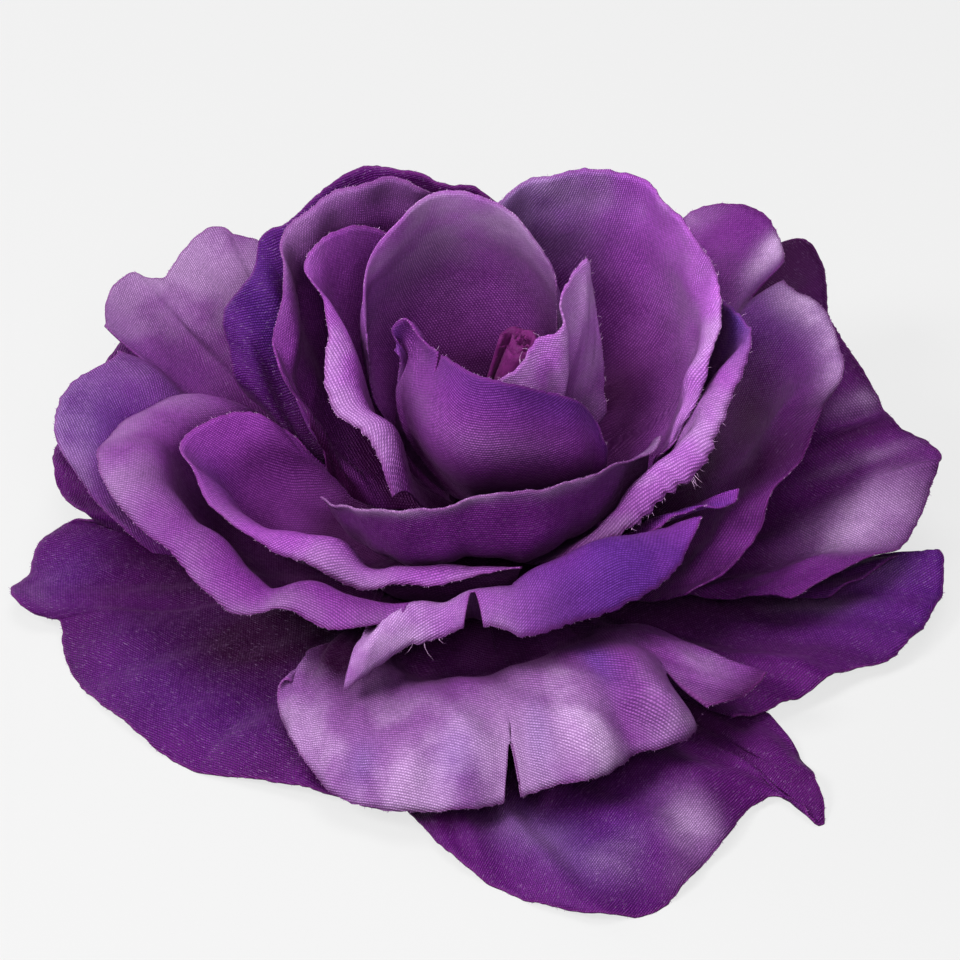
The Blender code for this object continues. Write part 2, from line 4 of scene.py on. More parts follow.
import bpy
import numpy as np
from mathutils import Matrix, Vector


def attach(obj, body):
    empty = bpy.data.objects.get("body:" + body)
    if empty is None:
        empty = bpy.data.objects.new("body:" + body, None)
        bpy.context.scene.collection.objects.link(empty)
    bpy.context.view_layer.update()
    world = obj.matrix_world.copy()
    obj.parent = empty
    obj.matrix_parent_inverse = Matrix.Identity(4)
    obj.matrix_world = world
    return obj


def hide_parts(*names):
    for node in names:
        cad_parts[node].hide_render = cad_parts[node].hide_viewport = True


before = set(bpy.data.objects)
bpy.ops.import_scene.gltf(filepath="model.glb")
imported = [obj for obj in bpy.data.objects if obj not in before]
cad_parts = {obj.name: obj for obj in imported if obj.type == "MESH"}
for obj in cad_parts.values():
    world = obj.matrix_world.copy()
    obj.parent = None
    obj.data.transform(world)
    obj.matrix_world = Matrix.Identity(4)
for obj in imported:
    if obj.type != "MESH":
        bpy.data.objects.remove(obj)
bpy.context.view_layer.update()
MM = 0.001

# --- Studio ---
# A pale table that runs to the horizon, a small strong light high at the front left, and wide weaker
# ones above, in front and at the back left, in a dim room. The camera looks down on the front.

GLOW_LENT = 0.14  # what the table lends to the flower
GLOW_SEEN = 0.73  # what the camera sees of it
CAMERA_DISTANCE = 0.5
CAMERA_TILT = math.radians(38.0)
CAMERA_AIM = np.array((0.0, 0.0, 0.0165))


def preset(node, values):
    """Sets a node's inputs by their names."""
    for key, value in values.items():
        node.inputs[key].default_value = value


def in_scene(name, data):
    """An object made of the data and put in the scene."""
    made = bpy.data.objects.new(name, data)
    bpy.context.scene.collection.objects.link(made)
    return made


table_mesh = bpy.data.meshes.new("table")
table_mesh.from_pydata([(-3, -3, 0), (3, -3, 0), (3, 3, 0), (-3, 3, 0)], [], [(0, 1, 2, 3)])
table_paint = bpy.data.materials.new("table_paint")
table_paint.use_nodes = True
table_shader = table_paint.node_tree.nodes["Principled BSDF"]
preset(table_shader, {"Base Color": (0.10, 0.10, 0.10, 1), "Emission Color": (1, 1, 1, 1),
                      "Roughness": 0.9, "Specular IOR Level": 0.1})
glow = table_paint.node_tree.nodes.new("ShaderNodeMapRange")
preset(glow, {"To Min": GLOW_LENT, "To Max": GLOW_SEEN})
seen = table_paint.node_tree.nodes.new("ShaderNodeLightPath")
table_paint.node_tree.links.new(seen.outputs["Is Camera Ray"], glow.inputs["Value"])
table_paint.node_tree.links.new(glow.outputs[0], table_shader.inputs["Emission Strength"])
table_mesh.materials.append(table_paint)
table = in_scene("table", table_mesh)

room = bpy.data.worlds.new("room")
room.use_nodes = True
preset(room.node_tree.nodes["Background"], {"Color": (0.93, 0.93, 0.95, 1), "Strength": 0.07})
bpy.context.scene.world = room
bpy.context.scene.view_settings.view_transform = "Standard"


def soft_light(name, place, size, power, aim=(0, 0, 0.02)):
    """Square area light at a place, its face turned towards the aim."""
    lamp = bpy.data.lights.new(name, "AREA")
    lamp.shape = "SQUARE"
    lamp.size = size
    lamp.energy = power
    holder = in_scene(name, lamp)
    holder.location = place
    holder.rotation_euler = (Vector(place) - Vector(aim)).to_track_quat("Z", "Y").to_euler()


soft_light("key_light", (-0.34, -0.24, 0.44), size=0.16, power=3.0)
soft_light("overhead", (0.0, 0.0, 0.62), size=0.30, power=2.2)
soft_light("front_light", (0.04, -0.42, 0.40), size=0.25, power=1.6)
soft_light("back_light", (-0.46, 0.34, 0.22), size=0.30, power=1.4)

camera_data = bpy.data.cameras.new("camera")
camera_data.sensor_width = 36
camera_data.lens = 175.3
camera_data.clip_start = 0.05
camera = in_scene("camera", camera_data)
camera_side = np.array((0, -math.cos(CAMERA_TILT), math.sin(CAMERA_TILT)))
camera.location = CAMERA_AIM + CAMERA_DISTANCE * camera_side
camera.rotation_euler = (math.pi / 2 - CAMERA_TILT, 0, 0)
bpy.context.scene.camera = camera

# --- Petal cloth ---
# Plain-woven polyester, dyed violet. Light on its thread tops and shade between the ribs are
# painted into its colour. Sprayed colour makes some stretches bluer, darker or paler; the dark
# spray is deep dye and also painted shade in gaps, hollows and near the claws, and the pale spray
# is pale dye and also painted highlights on lips and ridges. Cloth shut in by other petals is
# painted darker as shade. The cut edge is a thin dark line of sealed threads.

RIB = 0.27 * MM  # distance between the ribs of the weave
YARN = 0.31 * MM  # distance between the yarns that cross them
WANDER = 1.5  # how many ribs the weave wanders sideways
DYE_DEEP = (0.062, 0.002, 0.086)
# the lightest tone; the inner petals sit near it, partly as a painted glow of light through the thin cloth
LIGHT_DYE_AND_GLOW = (0.520, 0.110, 0.660)
PAINTED_LIGHT_ON_TOPS = (1.65, 1.6, 1.6)  # times the dye: painted highlight on the tops of the yarns
PAINTED_SHADE_IN_HOLLOWS = (0.42, 0.25, 0.48)  # and painted shade between the ribs
# dark spray: deep dye, and painted shade in gaps, hollows and near the claws
DARK_DYE_AND_SHADE = (0.016, 0.0006, 0.015)
SPRAY_BLUE = (0.075, 0.022, 0.220)
# pale spray: pale dye, and painted highlights on lips and ridges
PALE_DYE_AND_HIGHLIGHT = (0.78, 0.50, 0.88)
CUT_EDGE = (0.15, 0.02, 0.16)
PATCHES, DENTS = 110, 230  # cloudy patches of dye, and soft dents, to the metre
PAINTED_SHADE_REACH = 25 * MM  # painted shade: cloth this close to other cloth is painted darker
LINT = (0.7 * MM, 0.13 * MM)  # length and width of a speck


class Wiring:
    """Short way to add nodes to a material: each call makes one node and links its inputs."""

    def __init__(self, tree):
        self.tree = tree

    def node(self, kind, **settings):
        made = self.tree.nodes.new(kind)
        for key, value in settings.items():
            setattr(made, key, value)
        return made

    def feed(self, socket, value):
        if isinstance(value, bpy.types.NodeSocket):
            self.tree.links.new(value, socket)
        else:
            socket.default_value = value

    def maths(self, operation, a, b=0.0, c=0.0, clamp=False):
        made = self.node("ShaderNodeMath", operation=operation, use_clamp=clamp)
        for socket, value in zip(made.inputs, (a, b, c)):
            self.feed(socket, value)
        return made.outputs[0]

    def wave(self, turns):
        """Raised cosine: 0 at whole turns and 1 at half ones."""
        cosine = self.maths("COSINE", self.maths("MULTIPLY", turns, 2 * math.pi))
        return self.maths("MULTIPLY_ADD", cosine, -0.5, 0.5)

    def times(self, vector, factors):
        made = self.node("ShaderNodeVectorMath", operation="MULTIPLY")
        self.feed(made.inputs[0], vector)
        made.inputs[1].default_value = factors
        return made.outputs[0]

    def noise(self, place, scale, detail=2.0, roughness=0.5):
        made = self.node("ShaderNodeTexNoise")
        self.feed(made.inputs["Vector"], place)
        preset(made, {"Scale": scale, "Detail": detail, "Roughness": roughness})
        return made.outputs["Fac"]

    def ramp(self, value, low, high, to_low=0.0, to_high=1.0):
        made = self.node("ShaderNodeMapRange", interpolation_type="SMOOTHSTEP")
        for socket, v in zip(made.inputs, (value, low, high, to_low, to_high)):
            self.feed(socket, v)
        return made.outputs[0]

    def mix(self, share, a, b):
        made = self.node("ShaderNodeMix", data_type="RGBA")
        self.feed(made.inputs[0], share)
        self.feed(made.inputs[6], a if isinstance(a, bpy.types.NodeSocket) else (*a, 1))
        self.feed(made.inputs[7], b if isinstance(b, bpy.types.NodeSocket) else (*b, 1))
        return made.outputs[2]

    def bump(self, height, strength, distance):
        made = self.node("ShaderNodeBump")
        self.feed(made.inputs["Height"], height)
        preset(made, {"Strength": strength, "Distance": distance})
        return made


def new_material(name):
    """An empty Principled material, the wiring of its nodes, and its shader."""
    made = bpy.data.materials.new(name)
    made.use_nodes = True
    return made, Wiring(made.node_tree), made.node_tree.nodes["Principled BSDF"]


def weave_height(w, flat):
    """Height of the plain weave, 0 to 1, at a place on the flat cloth.

    Each rib is a raised cosine of the distance across the ribs. Along it the yarns that cross it
    show as dashes, a second raised cosine, shifted half a yarn on every other rib. The height is
    their product, uneven from yarn to yarn.
    """
    apart = w.node("ShaderNodeSeparateXYZ")
    w.feed(apart.inputs[0], flat)
    wander = w.maths("MULTIPLY", w.noise(flat, 0.25 / MM, 1.0), WANDER)
    across = w.maths("MULTIPLY_ADD", apart.outputs[1], 1 / RIB, wander)
    along = w.maths("MULTIPLY_ADD", apart.outputs[0], 1 / YARN, wander)
    dash = w.wave(w.maths("MULTIPLY_ADD", w.maths("FLOOR", across), 0.5, along))
    uneven = w.ramp(w.noise(w.times(flat, (0.5 / YARN, 1.2 / RIB, 0)), 1.0, 1.0), 0.35, 0.65)
    dashes = w.maths("MULTIPLY_ADD", dash, w.maths("MULTIPLY_ADD", uneven, 0.45, 0.45), 0.12)
    return w.maths("MULTIPLY", w.wave(across), w.maths("MULTIPLY_ADD", uneven, 0.3, dashes))


def dye_and_painted_light(w, flat, place, weave):
    """Colour of the cloth: dye by the petal's tone, then the spray, the lint and the cut edge.

    Yarn tops are painted paler and the hollows between the ribs darker, a painted highlight and
    shade of the weave; the hollows also catch little of the pale spray. Cloth is painted darker where
    the petal's attribute says so, as deep dye and painted shade, and where other petals shut it in,
    as painted shade. A lighter tone stands partly for a painted glow of light through the cloth.
    """
    from_petal = {key: w.node("ShaderNodeAttribute", attribute_name=key).outputs["Fac"]
                  for key in ("tone", "spray_blue", "spray_pale_and_highlight", "spray_deep_dye_and_shade", "from_edge")}
    patchy = w.noise(place, PATCHES, 3.0, 0.55)
    dye = w.mix(from_petal["tone"], DYE_DEEP, LIGHT_DYE_AND_GLOW)
    dye = w.mix(w.ramp(patchy, 0.4, 0.75, 0.0, 0.35), dye, DARK_DYE_AND_SHADE)
    blue = w.maths("MULTIPLY", from_petal["spray_blue"], w.ramp(patchy, 0.2, 0.6, 0.7, 1.0))
    dye = w.mix(blue, dye, SPRAY_BLUE)
    # the pale spray paints pale dye and painted highlights
    pale_and_highlight_share = w.maths("MULTIPLY", from_petal["spray_pale_and_highlight"], w.ramp(patchy, 0.36, 0.62, 0.3, 1.0))
    # painted highlight on the yarn tops, painted shade in the hollows between the ribs
    lit_tops = w.mix(pale_and_highlight_share, w.times(dye, PAINTED_LIGHT_ON_TOPS), PALE_DYE_AND_HIGHLIGHT)
    shaded_hollows = w.mix(w.maths("MULTIPLY", pale_and_highlight_share, 0.3), w.times(dye, PAINTED_SHADE_IN_HOLLOWS), PALE_DYE_AND_HIGHLIGHT)
    # painted shade: cloth shut in by other petals is mixed towards the dark colour, like the dark spray
    openness = w.node("ShaderNodeAmbientOcclusion", samples=4)
    preset(openness, {"Distance": PAINTED_SHADE_REACH})
    painted_shade = w.ramp(openness.outputs["AO"], 0.05, 0.6, 0.98, 0.0)
    deep_dye_and_shade = w.maths("MAXIMUM", from_petal["spray_deep_dye_and_shade"], painted_shade)
    colour = w.mix(deep_dye_and_shade, w.mix(weave, shaded_hollows, lit_tops), DARK_DYE_AND_SHADE)
    speck = w.ramp(w.noise(w.times(flat, (1 / LINT[0], 1 / LINT[1], 0)), 1.0, 1.0), 0.62, 0.74)
    lint = w.maths("MULTIPLY_ADD", from_petal["tone"], -0.5, 0.16, clamp=True)
    colour = w.mix(w.maths("MULTIPLY", speck, lint), colour, PALE_DYE_AND_HIGHLIGHT)
    edge = w.ramp(from_petal["from_edge"], 0.10, 0.35, 1.0, 0.0)
    return w.mix(w.maths("MULTIPLY", edge, 0.4), colour, CUT_EDGE)


def woven_cloth(name):
    """Principled cloth on a plain weave: sprayed dye, painted light and shade, soft dents, faint violet
    sheen.
    """
    cloth, w, shader = new_material(name)
    flat = w.node("ShaderNodeUVMap", uv_map="flat_pattern").outputs[0]
    place = w.node("ShaderNodeTexCoord").outputs["Object"]
    weave = weave_height(w, flat)
    w.feed(shader.inputs["Base Color"], dye_and_painted_light(w, flat, place, weave))
    dented = w.bump(w.noise(place, DENTS, 2.0, 0.45), 0.5, 0.9 * MM)
    woven = w.bump(weave, 0.7, 0.10 * MM)
    w.feed(woven.inputs["Normal"], dented.outputs[0])
    w.feed(shader.inputs["Normal"], woven.outputs[0])
    w.feed(shader.inputs["Roughness"], w.ramp(w.noise(flat, 1400, 2.0, 0.6), 0.2, 0.8, 0.38, 0.52))
    preset(shader, {"Specular IOR Level": 0.25, "Specular Tint": (0.85, 0.30, 0.95, 1),
                    "Sheen Weight": 0.10, "Sheen Roughness": 0.35, "Sheen Tint": (0.75, 0.25, 0.85, 1)})
    return cloth


petal_cloth = woven_cloth("petal_cloth")

# --- Bud petals ---
# Three die-cut petals wrapped round the tuft: one folded, one notched round the front, one upright
# at the back. Each is glued by its claw to the peg, and lies outside the ones placed before it.

# sizes are in millimetres; u goes along a petal's rim and s out from its claw, both from 0 to 1
CLAW_RADIUS = 3.1
TOP_CLAW = 16.0  # height of the first claw; each next one sits CLAW_STEP lower
CLAW_STEP = 0.5
SPREAD = 2.4  # how early a petal fans out from its claw
BULGE = 0.58  # s where its cup is deepest
COARSE_ROWS = 25
CLEARANCE = 0.9  # between the middles of two petals
CLEARANCE_REACH = 3.5  # a point this far inside another petal is still brought out
FACING_REACH = 3.0  # how far aside another petal still counts as opposite
NESTED = 0.1  # least cosine between the outer sides of two petals that nest
POINTS_AT_ONCE = 400  # keeps the table of distances small
FLOOR = 0.35  # least height of a petal's middle
SETTLE_ROUNDS = 16
SETTLED = 0.05  # a move too small to matter
GLUED = 0.12  # s up to which the glue still holds a petal back
CLOTH_THICKNESS = 0.22
SLIT_WIDTH = 0.0002  # u across a slit's inner end
SLIT_POWER = 0.75  # of the way along a slit, in how far it gapes
NICK_GAP = 0.55  # between nicks in a cut edge
NICK_DEPTH = 0.14  # and half the petal's fray on top
FRAY_GAP = 0.6  # between yarn ends along a rim
ROW_POWER = 0.85  # crowds the rows towards the rim
OUTER_ROWS = 20  # rows that set how a petal is laid flat
FLAT_ENDS = 0.12  # u at each end of the rim without roll or trough
TROUGH = (0.66, 0.14)  # s of the dip behind the lip, and its spread
ROLL = (0.86, 0.09)  # the same of the lip's roll
WIDEST_CREASE = 0.1  # a bend wider in u is a fold and curves the flat pattern
PUCKER_LENGTH = 40  # of rim, for the counts of the pucker

placed_petals = []
frayed = []


def size(vectors):
    """Lengths of vectors, which lie along the last axis."""
    return np.linalg.norm(vectors, axis=-1)


def unit(vectors):
    """The same vectors, each 1 long."""
    return vectors / np.maximum(size(vectors)[..., None], 1e-9)


def rim_curve(rim, u):
    """Smooth curve through the rim's points at the places u, 0 to 1 along its length.

    Cubic pieces join the points; at each point the slope is that of its two neighbours. All five
    values of a point (azimuth, radius, height, cup, lip) run along the same pieces.
    """
    points = np.array(rim, float)
    points[:, 0] = np.radians(points[:, 0])
    place = np.stack([points[:, 1] * np.cos(points[:, 0]),
                      points[:, 1] * np.sin(points[:, 0]), points[:, 2]], axis=1)
    knots = np.concatenate([[0], np.cumsum(size(np.diff(place, axis=0)))])
    knots /= knots[-1]
    slope = np.gradient(points, knots, axis=0)
    i = np.clip(np.searchsorted(knots, u, side="right") - 1, 0, len(knots) - 2)
    width = (knots[i + 1] - knots[i])[:, None]
    x = (u[:, None] - knots[i][:, None]) / width
    return ((2 * x**3 - 3 * x**2 + 1) * points[i] + (x**3 - 2 * x**2 + x) * width * slope[i]
            + (3 * x**2 - 2 * x**3) * points[i + 1] + (x**3 - x**2) * width * slope[i + 1])


def petal_surface(claw, width, crest, rim, claw_height, columns, rows):
    """Middle surface of a petal as a grid of points, columns along the rim by rows outwards.

    In the upright plane through the axis, each line runs straight from the claw to the rim. It is
    bent out and down by the cup, a single bump that is deepest at BULGE, and up and in by the lip,
    a bump that peaks at the crest. Its azimuth fans out from the claw's to the rim's, fast at
    first: 1 - (1 - s) ** SPREAD.
    """
    u = np.linspace(0, 1, columns)
    azimuth, radius, height, cup, lip = rim_curve(rim, u).T
    turn = np.sign(azimuth[-1] - azimuth[0])
    start = math.radians(claw) + turn * (u - 0.5) * width / CLAW_RADIUS
    rise, run = height - claw_height, radius - CLAW_RADIUS
    length = np.hypot(rise, run)
    s = np.linspace(0, 1, rows)[None, :]
    cup_bump = np.sin(math.pi * s ** (math.log(0.5) / math.log(BULGE)))
    power = crest / (1 - crest)
    lip_bump = s**power * (1 - s) / (crest**power * (1 - crest))
    out = cup[:, None] * cup_bump - lip[:, None] * lip_bump
    angle = start[:, None] + (azimuth - start)[:, None] * (1 - (1 - s) ** SPREAD)
    r = CLAW_RADIUS + run[:, None] * s + out * (rise / length)[:, None]
    z = claw_height + rise[:, None] * s - out * (run / length)[:, None]
    return np.stack([r * np.cos(angle), r * np.sin(angle), z], axis=-1), turn


def outward(grid, turn):
    """Unit normals on a petal's outer side, that is away from the axis and down."""
    return unit(np.cross(np.gradient(grid, axis=0), np.gradient(grid, axis=1)) * turn)


def smoothed(field):
    """Mean of each grid value and its eight neighbours, nearer ones counting more."""
    p = np.pad(field, ((1, 1), (1, 1), (0, 0)), mode="edge")
    across = p[:-2] + 2 * p[1:-1] + p[2:]
    return (across[:, :-2] + 2 * across[:, 1:-1] + across[:, 2:]) / 16


def push_off(points, normals, other):
    """Moves that bring the points of one petal clear of another petal that is already placed.

    Each point looks at the nearest grid point of the other petal. Where the two face the same way,
    the point is moved out along the other's normal until it is clear. Where they do not, it is
    moved clear on the side where it already is.
    """
    placed, placed_normals, on_edge = other
    moves = np.zeros_like(points)
    reach = math.hypot(CLEARANCE_REACH, FACING_REACH) + 0.1
    inside = (points > placed.min(axis=0) - reach) & (points < placed.max(axis=0) + reach)
    chosen = np.flatnonzero(inside.all(axis=1))
    for first in range(0, len(chosen), POINTS_AT_ONCE):
        part = chosen[first:first + POINTS_AT_ONCE]
        p = points[part]
        distance = (p**2).sum(1)[:, None] + (placed**2).sum(1)[None] - 2 * p @ placed.T
        near = distance.argmin(axis=1)
        normal = placed_normals[near]
        gap = p - placed[near]
        depth = (gap * normal).sum(axis=1)
        aside = np.sqrt(np.maximum((gap**2).sum(axis=1) - depth**2, 0))
        facing = aside < np.where(on_edge[near], CLEARANCE, FACING_REACH)
        nested = (normals[part] * normal).sum(axis=1) > NESTED
        out = np.where((depth < CLEARANCE) & (depth > -CLEARANCE_REACH), CLEARANCE - depth, 0)
        aside_move = np.where(np.abs(depth) < CLEARANCE,
                              np.where(depth > 0, 1, -1) * (CLEARANCE - np.abs(depth)), 0)
        moves[part] = (facing * np.where(nested, out, aside_move))[:, None] * normal
    return moves


def settled(grid, turn):
    """The petal's grid laid on all the petals already placed: pushed off, smoothed, repeated."""
    shift = np.zeros_like(grid)
    held = np.clip(np.linspace(0, 1, grid.shape[1]) / GLUED, 0, 1)[None, :, None]
    for settle_round in range(SETTLE_ROUNDS):
        now = grid + shift
        points, normals = now.reshape(-1, 3), outward(now, turn).reshape(-1, 3)
        moves = np.zeros_like(points)
        for other in placed_petals:
            more = push_off(points, normals, other)
            larger = (more**2).sum(axis=1) > (moves**2).sum(axis=1)
            moves[larger] = more[larger]
        if size(moves).max() < SETTLED:
            break
        shift += moves.reshape(grid.shape) * held
        if settle_round < SETTLE_ROUNDS - 2:
            shift = smoothed(shift)
    done = grid + shift
    done[..., 2] = np.maximum(done[..., 2], FLOOR)
    edge = np.zeros(done.shape[:2], bool)
    edge[[0, -1], :] = True
    edge[:, [0, -1]] = True
    placed_petals.append((done.reshape(-1, 3), outward(done, turn).reshape(-1, 3), edge.ravel()))
    return done


def sampled(field, u, s):
    """Smooth surface through a grid of values, at the places u along axis 0 and s along axis 1.

    Each result is a sum of the sixteen values around it, with cubic weights that pass through the
    middle four; beyond the grid's edge its values go on in a straight line.
    """
    padded = np.pad(field, ((1, 1), (1, 1), (0, 0)), mode="reflect", reflect_type="odd")
    parts = []
    for place, count in ((u, field.shape[0]), (s, field.shape[1])):
        step = np.clip(np.floor(place * (count - 1)).astype(int), 0, count - 2)
        x = place * (count - 1) - step
        parts.append((step, (x * (x * (2 - x) - 1) / 2, 1 + x * x * (3 * x - 5) / 2,
                             x * (1 + x * (4 - 3 * x)) / 2, x * x * (x - 1) / 2)))
    (i, across), (j, along) = parts
    return sum((p * q)[..., None] * padded[i + a, j + b]
               for a, p in enumerate(across) for b, q in enumerate(along))


def cut_out(rim_length, lengths, slits, fray, seed, columns, rows):
    """Places (u, s) of a fine grid's points on a petal, its edge nibbled and its slits opened.

    The rim ends short of 1 by nicks of random depth. A slit's two lips move apart by its half
    width times a power of the way from its inner end, and the cloth beside it less and less.
    Also: how far each point is from a cut edge, and which ones stand just before a slit.
    """
    coarse = np.linspace(0, 1, len(lengths))
    u = np.linspace(0, 1, columns)
    for place, half, depth in slits:
        u = np.sort(np.concatenate([u, [place - SLIT_WIDTH, place + SLIT_WIDTH]]))
    length = np.interp(u, coarse, lengths)[:, None]
    nicks = np.random.default_rng(seed + 7).uniform(0, NICK_DEPTH + fray / 2, int(rim_length / NICK_GAP))
    nibble = np.interp(u * rim_length, np.arange(len(nicks)) * NICK_GAP, nicks)[:, None]
    s = np.linspace(0, 1, rows)[None, :] ** ROW_POWER * (1 - nibble / length)
    u = np.repeat(u[:, None], rows, axis=1)
    from_edge = (1 - s / s[:, -1:]) * length
    before_slit = np.zeros(u.shape, bool)
    spread = np.zeros(u.shape)
    for place, half, depth in slits:
        apex = 1 - depth / np.interp(place, coarse, lengths)
        away = (u - place) * rim_length
        gape = half * np.clip((s - apex) / (1 - apex), 0, 1) ** SLIT_POWER
        spread = spread + np.sign(away) * gape * np.exp(-np.abs(away) / (3 * half)) / rim_length
        from_edge = np.where(s > apex, np.minimum(from_edge, np.abs(away)), from_edge)
        before_slit |= (u > place - 2 * SLIT_WIDTH) & (u < place) & (s > apex)
    return np.clip(u + spread, 0, 1), s, from_edge, before_slit


def spot(u, s, at_u, at_s, spread_u, spread_s):
    """Soft spot on a petal: exp(-distance squared), the distance counted in spreads."""
    return np.exp(-(((u - at_u) / spread_u) ** 2 + ((s - at_s) / spread_s) ** 2))


def folded(u, s, roll, trough, bends):
    """Lifts along the normal that curl the lip over and bend the cloth: broad folds, fine creases.

    The roll moves the lip in and the trough behind it goes out; both die out towards the rim's
    ends. Each bend is a spot: (u, s, spread in u, spread in s, height).
    """
    ends = np.clip(np.minimum(u, 1 - u) / FLAT_ENDS, 0, 1)
    fold = (trough * ends * np.exp(-((s - TROUGH[0]) / TROUGH[1]) ** 2)
            - roll * ends * np.exp(-((s - ROLL[0]) / ROLL[1]) ** 2))
    crease = np.zeros(s.shape)
    for *place, height in bends:
        if place[2] > WIDEST_CREASE:
            fold = fold + height * spot(u, s, *place)
        else:
            crease = crease + height * spot(u, s, *place)
    return fold, crease


def rippled(u, s, rim_length, waves, pucker, seed):
    """Lifts along the normal: ripples round the rim and a fine pucker all over.

    A ripple (count, height) is height * sin(count turns of the rim + phase) times the cube of the
    way out. The pucker is a sum of sines in random directions, finer ones lower, times the way out.
    """
    phases = np.random.default_rng(seed).uniform(0, 2 * math.pi, len(waves))
    lift = s**3 * sum(height * np.sin(2 * math.pi * count * u + phase)
                      for (count, height), phase in zip(waves, phases))
    rng = np.random.default_rng(seed + 31)
    for count in (3, 5, 8, 13):
        turns = rng.uniform(-1, 1, 2) * count
        phase = rng.uniform(0, 2 * math.pi)
        lift = lift + pucker * (3 / count) * s * np.sin(
            2 * math.pi * (turns[0] * u * rim_length / PUCKER_LENGTH + turns[1] * s) + phase)
    return lift


def flat_pattern(grid, claw_width, grain):
    """Where each point lay on the flat cloth, and the cloth's flat width, length and area.

    The petal is laid as a fan about the claw's centre. A point's radius is its distance along the
    cloth from the claw; its angle is that of its column, the mean over the OUTER_ROWS of the
    distance across the cloth divided by the radius. The fan is turned by the grain.
    """
    across = np.pad(np.cumsum(size(np.diff(grid, axis=0)), axis=0), ((1, 0), (0, 0)))
    along = np.pad(np.cumsum(size(np.diff(grid, axis=1)), axis=1), ((0, 0), (1, 0)))
    reach = claw_width / 2 + along
    angle = (across - across[-1:] / 2) / reach.mean(axis=0)[None, :]
    angle = np.repeat(angle[:, -OUTER_ROWS:].mean(axis=1)[:, None], grid.shape[1], axis=1)
    x, y = reach * np.sin(angle), reach * np.cos(angle)
    cell = size(np.cross(grid[1:, :-1] - grid[:-1, :-1], grid[:-1, 1:] - grid[:-1, :-1]))
    cell += size(np.cross(grid[:-1, 1:] - grid[1:, 1:], grid[1:, :-1] - grid[1:, 1:]))
    turned = np.stack([x * math.cos(grain) - y * math.sin(grain),
                       x * math.sin(grain) + y * math.cos(grain)], axis=-1)
    return turned, np.ptp(x), np.ptp(y), cell.sum() / 2


def painted(u, s, tone, deep_dye_and_shade, spray, from_edge):
    """The petal's colour attributes: tone, distance from a cut edge, and three sprays.

    The dark spray, deep dye and painted shade, fades in towards the claw from the s given first in
    its pair, over the stretch given second. Each spray is a spot (colour, u, s, spread in u, spread
    in s, strength); the strongest one counts. Dark spots also paint shade into gaps and hollows, and
    pale ones paint highlights on lips and ridges.
    """
    shades = {"spray_" + colour: np.zeros(s.shape) for colour in ("blue", "pale_and_highlight", "deep_dye_and_shade")}
    # deep dye and painted shade, darker towards the claw
    shades["spray_deep_dye_and_shade"] += 0.95 * np.clip((deep_dye_and_shade[0] - s) / deep_dye_and_shade[1], 0, 1)
    for colour, *place, strength in spray:
        shades["spray_" + colour] = np.maximum(shades["spray_" + colour], strength * spot(u, s, *place))
    return shades | {"tone": np.full(s.shape, tone), "from_edge": from_edge}


def keep_fray(grid, rim_length, tone, fray, threads, seed):
    """Choose where yarn ends stand out from a petal's rim, about one every FRAY_GAP, and how far.

    Their length grows by fray times the cube of a random number, so that few are long. Threads
    adds single long ones: (place along the rim, length).
    """
    rng = np.random.default_rng(seed + 101)
    count = int(rim_length / FRAY_GAP)
    along = rng.uniform(1, len(grid) - 2, count)[:, None]
    left = np.floor(along).astype(int)[:, 0]
    rim = grid[left, -1] + (along - left[:, None]) * (grid[left + 1, -1] - grid[left, -1])
    away = unit(unit(grid[left, -1] - grid[left, -3]) + rng.normal(0, 0.35, rim.shape))
    frayed.append((rim, away, 0.1 + fray * rng.uniform(0, 1, count) ** 3, np.full(count, tone)))
    for place, length in threads:
        at = int(place * (len(grid) - 1))
        away = unit(unit(grid[at, -1] - grid[at, -3]) + rng.normal(0, 0.3, 3) - (0, 0, 0.3))
        frayed.append((grid[at:at + 1, -1], away[None], np.array([length]), np.ones(1)))


def grid_faces(columns, rows):
    """Corner numbers of the four-sided faces between a grid's points."""
    number = np.arange(columns * rows).reshape(columns, rows)
    return np.stack([number[:-1, :-1], number[1:, :-1], number[1:, 1:], number[:-1, 1:]], axis=-1)


def shown(name, points, faces, material, thickness=None):
    """A smooth piece of the flower, its points in millimetres; it may be given a thickness."""
    mesh = bpy.data.meshes.new(name)
    mesh.from_pydata((points.reshape(-1, 3) * MM).tolist(), [], faces)
    mesh.shade_smooth()
    mesh.materials.append(material)
    piece = in_scene(name, mesh)
    if thickness:
        wall = piece.modifiers.new("thickness", "SOLIDIFY")
        wall.thickness = thickness * MM
        wall.offset = 0.0
    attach(piece, "root")
    return piece


def set_values(piece, key, values):
    """Gives every point of the piece a value, under the key."""
    values = values.ravel().astype(np.float32)
    piece.data.attributes.new(key, "FLOAT", "POINT").data.foreach_set("value", values)


